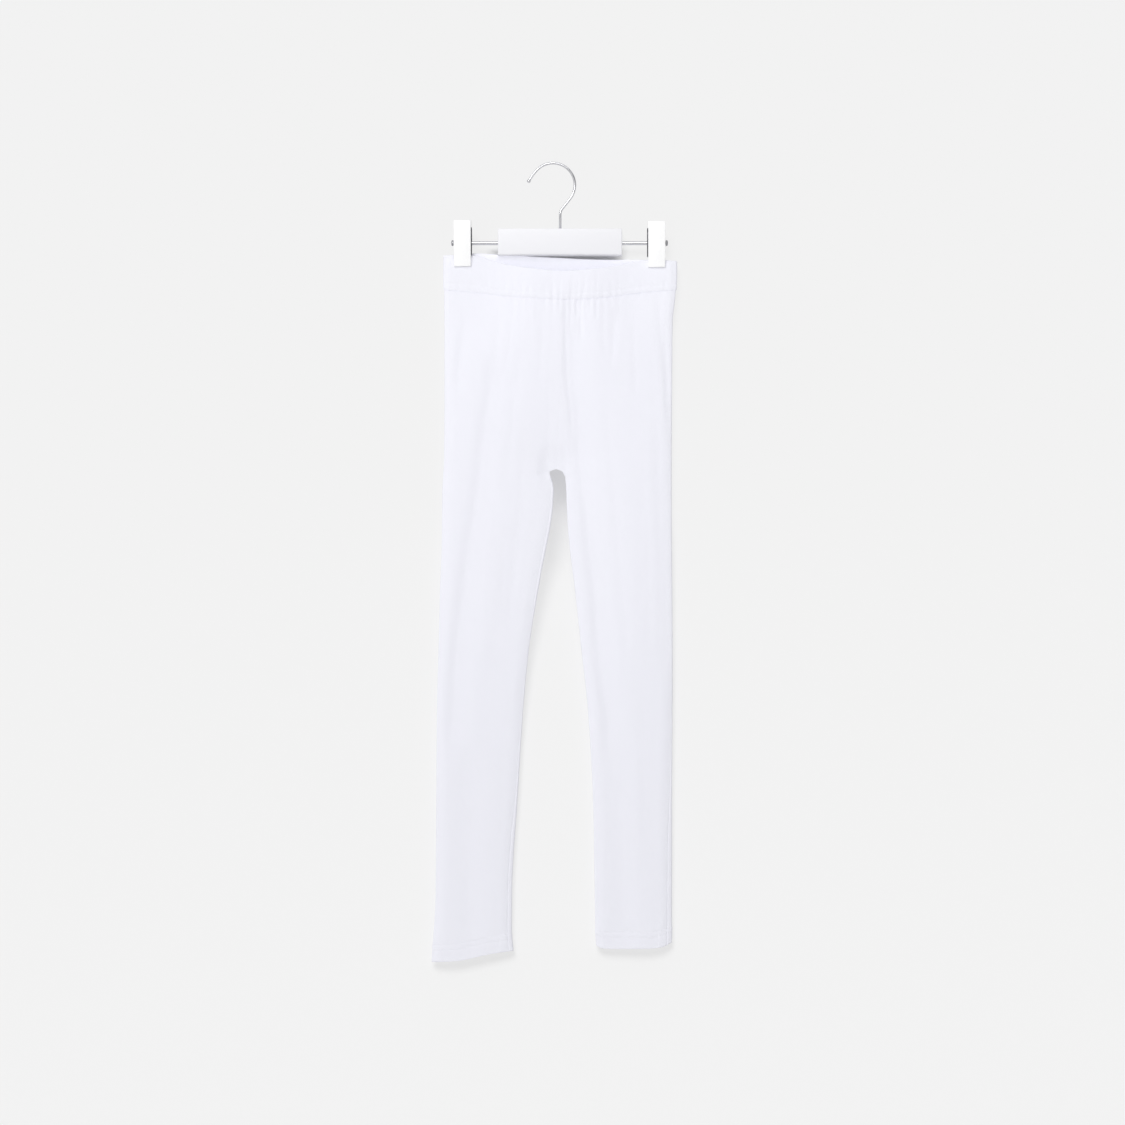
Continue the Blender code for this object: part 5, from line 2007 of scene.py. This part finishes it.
@dataclass
class SpringClip:
    """One spring clip: two jaws, a bent steel spring between them and a sleeve on the rod."""

    name: str
    across: float
    lowered: float
    inward: float
    finishes: Finishes
    width: float = 19.6
    rounding: float = 0.6
    back_taller: float = 2.6
    spring_inset: float = 1.6
    spring_shift: float = 2.6
    spring_steel: float = 1.0
    spring_arch: float = 9.5
    spring_drops: tuple[float, ...] = (105.5, 98.0, 90.0, 82.0)
    sleeve_radius: float = 5.6
    bore: float = 2.6
    rod_drop: float = 90.8
    gap: float = 0.3

    def jaw(self, node: str, facing: float, taller: float) -> bpy.types.Object:
        """One jaw, from its side profile."""
        inner = [(facing * row.inner, -row.drop - self.lowered) for row in JAW]
        outer = [(facing * row.outer, -row.drop - self.lowered) for row in JAW]
        inner[-1] = (inner[-1][0], inner[-1][1] + taller)
        outer[-1] = (outer[-1][0], outer[-1][1] + taller)
        half = self.width / 2.0
        start, end = self.across - half, self.across + half
        made = moulded(f"{self.name}_{node}_moulded", inner + outer[::-1], start, end, self.rounding)
        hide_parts(f"{self.name}_{node}")
        return made

    def spring(self) -> bpy.types.Object:
        """The bent spring: up the front jaw, over the rod and down the back jaw."""
        lane = Track([row.drop for row in reversed(JAW)], [row.inner for row in reversed(JAW)])
        steel = self.spring_steel
        half_out = [
            (float(lane.at(drop)) - self.gap, -drop - self.lowered) for drop in self.spring_drops
        ]
        half_in = [(depth - steel, up) for depth, up in half_out]
        top_depth, top_up = half_out[-1]
        for angle in np.linspace(0.0, math.pi / 2.0, 15)[1:]:
            c, s = math.cos(angle), math.sin(angle)
            half_out.append((top_depth * c, top_up + self.spring_arch * s))
            half_in.append(((top_depth - steel) * c, top_up + (self.spring_arch - steel) * s))
        outline = [(-y, z) for y, z in half_out] + [(y, z) for y, z in reversed(half_out[:-1])]
        outline += half_in + [(-y, z) for y, z in reversed(half_in[:-1])]
        half = self.width / 2.0 - self.spring_inset
        middle = self.across + self.inward * self.spring_shift
        made = moulded(f"{self.name}_spring_bent", outline, middle - half, middle + half, 0.15, 2)
        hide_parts(f"{self.name}_spring")
        return made

    def sleeve(self) -> bpy.types.Object:
        """The sleeve that carries the clip on the rod."""
        half, r = self.width / 2.0, self.sleeve_radius
        start, end = self.across - half, self.across + half
        profile = [
            (start, self.bore), (start, r - 0.5), (start + 0.5, r),
            (end - 0.5, r), (end, r - 0.5), (end, self.bore),
        ]
        made = turned(f"{self.name}_sleeve_moulded", profile, self.rod_drop)
        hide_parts(f"{self.name}_sleeve")
        return made

    def build(self) -> None:
        """Builds and dresses the clip."""
        dress(self.jaw("front_jaw", -1.0, 0.0), self.finishes.clip)
        # The back jaw in the greyer plastic: painted shade
        dress(self.jaw("back_jaw", 1.0, self.back_taller), self.finishes.shaded_clip_back)
        dress(self.spring(), self.finishes.spring)
        dress(self.sleeve(), self.finishes.clip)


class ClipPlace(NamedTuple):
    """A clip's name, where it grips, how much lower it hangs, and the way to the hanger's middle."""

    name: str
    across: float
    lowered: float
    inward: float


CLIPS = (
    ClipPlace("clip_left", -104.5, 0.0, 1.0),
    ClipPlace("clip_right", 119.6, 1.0, -1.0),
)


class Backdrop(NamedTuple):
    """How far behind the leggings the backdrop stands, at its sides and in its middle.

    The middle part is twice the half width across, and fades softly into the sides.
    """

    drop: float
    sides: float
    middle: float
    half_width: float


BACKDROP = (
    Backdrop(-9000, 12.6, 12.6, 22),
    Backdrop(104, 12.6, 12.6, 22),
    Backdrop(125, 12.6, 24, 24),
    Backdrop(200, 12.6, 48, 24),
    Backdrop(300, 12.6, 62, 22),
    Backdrop(352, 12.4, 64, 22),
    Backdrop(405, 12.4, 64, 22),
    Backdrop(425, 12.2, 57, 22),
    Backdrop(450, 12.0, 47, 24),
    Backdrop(474, 12.0, 36, 30),
    Backdrop(503, 12.0, 30, 35),
    Backdrop(532, 11.8, 27, 40),
    Backdrop(561, 11.6, 22, 45),
    Backdrop(618, 11.2, 15.5, 45),
    Backdrop(676, 10.8, 11, 45),
    Backdrop(720, 10.4, 10.4, 45),
    Backdrop(800, 9.6, 9.6, 45),
    Backdrop(905, 9.6, 9.6, 45),
    Backdrop(935, 11.5, 11.5, 45),
    Backdrop(1300, 11.5, 11.5, 45),
)


class SkyEdge(NamedTuple):
    """A soft edge of the sky's darker band, along one axis of the view, and its values at both ends."""

    axis: str
    start: float
    end: float
    at_start: float
    at_end: float


SKY_EDGES = (
    SkyEdge("Z", 0.14, 0.3, 0.0, 1.0),
    SkyEdge("Z", 0.42, 0.62, 1.0, 0.0),
    SkyEdge("Y", 0.2, -0.3, 0.0, 1.0),
)


@dataclass
class Studio:
    """The pale backdrop and floor, the soft light and the camera."""

    picture_width: float = 1299.4
    picture_middle: tuple[float, float] = (11.0, 459.7)
    camera_distance: float = 3600.0
    sensor: float = 36.0
    backdrop_middle: float = 11.0
    backdrop_fade: float = 90.0
    far: float = 9000.0
    coarse_across: tuple[float, float] = (-400.0, 400.0)
    fine_across: tuple[float, float, int] = (-200.0, 220.0, 71)
    coarse_up: float = -300.0
    fine_down: tuple[float, float, int] = (0.0, 960.0, 161)
    floor_drop: float = 1300.0
    floor_matt: float = 0.8
    floor_glow: float = 0.1
    tone: float = 0.888
    backdrop_light: float = 1.12
    backdrop_matt: float = 0.1
    # Painted deeper shade: below the hips, behind the gap of the legs and in the slot under the bar the
    # backdrop takes more light and glows less, so its cast shadows come out darker
    leg_shade_matt: float = 0.13
    leg_drops: tuple[float, float] = (400.0, 460.0)
    gap_shade_matt: float = 0.47
    gap_drops: tuple[float, float, float, float] = (90.0, 100.0, 348.0, 470.0)
    slot_shade_matt: float = 0.3
    slot_drops: tuple[float, float] = (112.0, 140.0)
    gap_across: tuple[float, float, float] = (5.0, 62.0, 85.0)
    shadow_sun: float = 2.6
    shadow_way: tuple[float, float, float] = (0.22, 1.0, -0.78)
    shadow_softness: float = 24.0
    key: float = 0.94
    key_way: tuple[float, float, float] = (0.5, 1.0, -0.4)
    key_softness: float = 24.0
    waist_fill: float = 0.3
    overhead: float = 6.0
    overhead_side: float = 1.0
    overhead_place: tuple[float, float, float] = (0.0, -1.3, 0.8)
    overhead_aim: tuple[float, float, float] = (0.0, 0.0, -0.4)
    spot: float = 4.5
    spot_angle: float = 25.0
    spot_blend: float = 0.6
    spot_size: float = 0.12
    spot_place: tuple[float, float, float] = (0.0, -1.6, 0.5)
    spot_aim: tuple[float, float, float] = (0.0, 0.0, -0.25)
    behind: float = 0.7
    behind_way: tuple[float, float, float] = (0.4, -1.0, -0.5)
    behind_softness: float = 40.0
    sky: float = 0.65
    sky_lean: float = 0.15
    dark_band: float = 0.65

    def paint(self, name: str, matt: float, glow: float) -> Recipe:
        """A pale matt paint that partly glows, so that it stays even.

        Args:
            name: Name of the material.
            matt: Share of the paint that takes the light.
            glow: Brightness of the rest.

        Returns:
            The paint.
        """
        made = Recipe(name)
        made.constants(
            Base_Color=(*[self.tone * matt] * 3, 1.0), Roughness=1.0, Specular_IOR_Level=0.0,
            Emission_Color=(*[glow] * 3, 1.0), Emission_Strength=1.0,
        )
        return made

    def paint_deeper_shade(self, made: Recipe) -> None:
        """Paints deeper shade behind the gap of the legs, under the bar and below the hips, where the
        paint glows less and takes more light.
        """
        place = made.node("ShaderNodeSeparateXYZ", {}, {"Vector": made.place("Object")})
        drop = made.wire(place, "Z") * (-1.0 / MM)
        middle, near, far = self.gap_across
        aside = (made.wire(place, "X") * (1.0 / MM) - middle).size()
        first, second, third, fourth = self.gap_drops
        share = made.step(drop, first, second) * made.step(drop, fourth, third)
        share = share * made.step(aside, far, near)
        slot = share * made.step(drop, self.slot_drops[1], self.slot_drops[0])
        matt = share * self.gap_shade_matt + slot * self.slot_shade_matt + self.backdrop_matt
        matt = matt + made.step(drop, *self.leg_drops) * self.leg_shade_matt
        made.feed("Base Color", matt * self.tone)
        made.feed("Emission Color", self.tone - matt * self.backdrop_light)

    def see_through(self, made: Recipe) -> None:
        """Makes a paint clear from behind and to the first bounce of light, which lights the back."""
        surface = made.tree.nodes["Material Output"].inputs["Surface"]
        front = surface.links[0].from_socket
        behind = made.wire(made.node("ShaderNodeNewGeometry", {}, {}), "Backfacing")
        path = made.node("ShaderNodeLightPath", {}, {})
        early = made.wire(path, "Diffuse Depth").maths("LESS_THAN", 1.5)
        first = made.wire(path, "Is Diffuse Ray") * early
        clear = made.node("ShaderNodeBsdfTransparent", {}, {})
        seen = made.node("ShaderNodeMixShader", {}, {"Fac": behind.maths("MAXIMUM", first)})
        made.tree.links.new(front, seen.inputs[1])
        made.tree.links.new(clear.outputs[0], seen.inputs[2])
        made.tree.links.new(seen.outputs[0], surface)

    def even(self, made: Recipe) -> None:
        """Shades a paint as if it were flat and upright, so that its surface's bends don't show."""
        facing = made.node("ShaderNodeCombineXYZ", {}, {"X": 0.0, "Y": -1.0, "Z": 0.0})
        made.feed("Normal", made.wire(facing, "Vector"))

    def build_stage(self) -> bpy.types.Object:
        """The backdrop behind the leggings, softly deeper behind the gap of the legs, and the floor.

        Returns:
            The backdrop.
        """
        far, bottom = self.far, -self.floor_drop
        left, right = self.coarse_across
        shape = tracks(BACKDROP)
        across = np.concatenate(((-far, left), np.linspace(*self.fine_across), (right, far)))[None, :]
        down = np.linspace(*self.fine_down)
        drop = np.concatenate(((-far, self.coarse_up), down, (self.floor_drop,)))[:, None]
        beside = np.abs(across - self.backdrop_middle) - shape["half_width"].at(drop)
        middle, sides = shape["middle"].at(drop), shape["sides"].at(drop)
        depth = middle + (sides - middle) * ease(beside / self.backdrop_fade)
        points = np.stack((across + 0.0 * depth, depth, -drop + 0.0 * depth), axis=-1)
        backdrop = mesh_object("backdrop", points, grid_faces(*depth.shape)[:, ::-1])
        paint = self.paint("backdrop_paint", self.backdrop_matt, 0.0)
        # Painted deeper shade behind the gap of the legs, under the bar and below the hips
        self.paint_deeper_shade(paint)
        self.even(paint)
        self.see_through(paint)
        backdrop.data.materials.append(paint.material)
        backdrop.visible_shadow = False
        corners = [(-far, -far, bottom), (far, -far, bottom), (far, far, bottom), (-far, far, bottom)]
        floor = mesh_object("floor", np.array(corners), [(0, 1, 2, 3)])
        floor_paint = self.paint("floor_paint", self.floor_matt, self.floor_glow)
        floor.data.materials.append(floor_paint.material)
        return backdrop

    def lamp(
        self, name: str, kind: str, power: float, place: Sequence[float], way: Sequence[float],
        size: float,
    ) -> bpy.types.Object:
        """A lamp.

        Args:
            name: Name of the lamp.
            kind: SUN, SPOT or AREA.
            power: Its power.
            place: Where it stands, in metres.
            way: Direction of its light.
            size: Angle of a sun or a spot in degrees, or the side of a softbox in metres.

        Returns:
            The lamp.
        """
        light = bpy.data.lights.new(name, kind)
        light.energy = power
        if kind == "SUN":
            light.angle = math.radians(size)
        elif kind == "SPOT":
            light.spot_size = math.radians(size)
            light.spot_blend = self.spot_blend
            light.shadow_soft_size = self.spot_size
        else:
            light.size = size
        made = bpy.data.objects.new(name, light)
        made.location = place
        made.rotation_euler = Vector(way).to_track_quat("-Z", "Y").to_euler()
        bpy.context.scene.collection.objects.link(made)
        return made

    def linked(
        self, name: str, pieces: Sequence[bpy.types.Object], state: str
    ) -> bpy.types.Collection:
        """A collection for a lamp's light or shadow linking.

        Args:
            name: Name of the collection.
            pieces: What is in it.
            state: INCLUDE for these pieces alone, or EXCLUDE for all but these.

        Returns:
            The collection.
        """
        made = bpy.data.collections.new(name)
        for piece in pieces:
            made.objects.link(piece)
        for entry in made.collection_objects:
            entry.light_linking.link_state = state
        return made

    def build_lights(self, backdrop: bpy.types.Object) -> None:
        """Suns, a softbox and a spot, each for its own part of the picture.

        One sun casts the shadows on the backdrop. A key, a softbox and a spot from above light all the
        rest, a fill lights the inside of the waistband, and a last sun lights the back.

        Args:
            backdrop: The backdrop, left out by the key, the softbox and the spot so that it stays even.
        """
        here = (0.0, 0.0, 0.0)
        key_sun = (here, self.key_way, self.key_softness)
        shadow_sun = (here, self.shadow_way, self.shadow_softness)
        softbox_way = Vector(self.overhead_aim) - Vector(self.overhead_place)
        spot_way = Vector(self.spot_aim) - Vector(self.spot_place)
        shadows = self.lamp("backdrop_sun", "SUN", self.shadow_sun, *shadow_sun)
        softbox = self.lamp(
            "softbox", "AREA", self.overhead, self.overhead_place, softbox_way, self.overhead_side
        )
        key = self.lamp("key", "SUN", self.key, *key_sun)
        spot = self.lamp("upper_spot", "SPOT", self.spot, self.spot_place, spot_way, self.spot_angle)
        fill = self.lamp("waist_fill", "SUN", self.waist_fill, *key_sun)
        self.lamp("back_light", "SUN", self.behind, here, self.behind_way, self.behind_softness)
        objects = bpy.data.objects
        links = shadows.light_linking
        links.receiver_collection = self.linked("lit_by_backdrop_sun", [backdrop], "INCLUDE")
        hook = [objects["hook_wire"]]
        links.blocker_collection = self.linked("casts_no_backdrop_shadow", hook, "EXCLUDE")
        upper = [objects["bar_moulded"], objects["waistband_front_casing"]]
        thrown = self.linked("casts_no_key_shadow", upper, "EXCLUDE")
        key.light_linking.blocker_collection = thrown
        fill.light_linking.blocker_collection = thrown
        inside = [objects["waistband_back_casing"]]
        fill.light_linking.receiver_collection = self.linked("lit_by_waist_fill", inside, "INCLUDE")
        left_out = self.linked("not_lit_by_key", [backdrop], "EXCLUDE")
        for lamp in (softbox, key, spot):
            lamp.light_linking.receiver_collection = left_out

    def build_sky(self) -> None:
        """An even sky, a little darker on the right, with a darker band in front for the metal."""
        world = bpy.data.worlds.new("studio")
        world.use_nodes = True
        world.cycles.sampling_method = "NONE"
        nodes, links = world.node_tree.nodes, world.node_tree.links
        background = nodes["Background"]
        background.inputs["Color"].default_value = (1.0, 1.0, 1.0, 1.0)
        way = nodes.new("ShaderNodeTexCoord")
        split = nodes.new("ShaderNodeSeparateXYZ")
        links.new(way.outputs["Generated"], split.inputs["Vector"])
        dark = None
        for edge in SKY_EDGES:
            ramp = nodes.new("ShaderNodeMapRange")
            ramp.interpolation_type = "SMOOTHSTEP"
            for socket, value in zip(("From Min", "From Max", "To Min", "To Max"), edge[1:]):
                ramp.inputs[socket].default_value = value
            links.new(split.outputs[edge.axis], ramp.inputs["Value"])
            found = Wire(world.node_tree, ramp.outputs["Result"])
            dark = found if dark is None else dark * found
        aside = Wire(world.node_tree, split.outputs["X"])
        strength = (1.0 - aside * self.sky_lean) * (1.0 - dark * self.dark_band) * self.sky
        links.new(strength.socket, background.inputs["Strength"])
        bpy.context.scene.world = world

    def build_camera(self) -> None:
        """A camera at the photograph's height, square on to the leggings."""
        lens = bpy.data.cameras.new("camera")
        lens.sensor_width = self.sensor
        lens.lens = self.sensor * self.camera_distance / self.picture_width
        camera = bpy.data.objects.new("camera", lens)
        across, drop = self.picture_middle
        camera.location = Vector((across, -self.camera_distance, -drop)) * MM
        camera.rotation_euler = (math.pi / 2.0, 0.0, 0.0)
        bpy.context.scene.collection.objects.link(camera)
        bpy.context.scene.camera = camera

    def build(self) -> None:
        """Builds the stage, the lights, the sky and the camera."""
        self.build_lights(self.build_stage())
        self.build_sky()
        self.build_camera()
        bpy.context.scene.view_settings.view_transform = "Standard"
        log.info("studio: backdrop, floor, lights and camera")


def main() -> None:
    """Builds the hanger, the leggings and the studio."""
    finishes = Finishes()
    Hanger(finishes).build()
    for place in CLIPS:
        SpringClip(*place, finishes).build()
    Leggings(finishes).build()
    Studio().build()


if __name__ == "__main__":
    main()
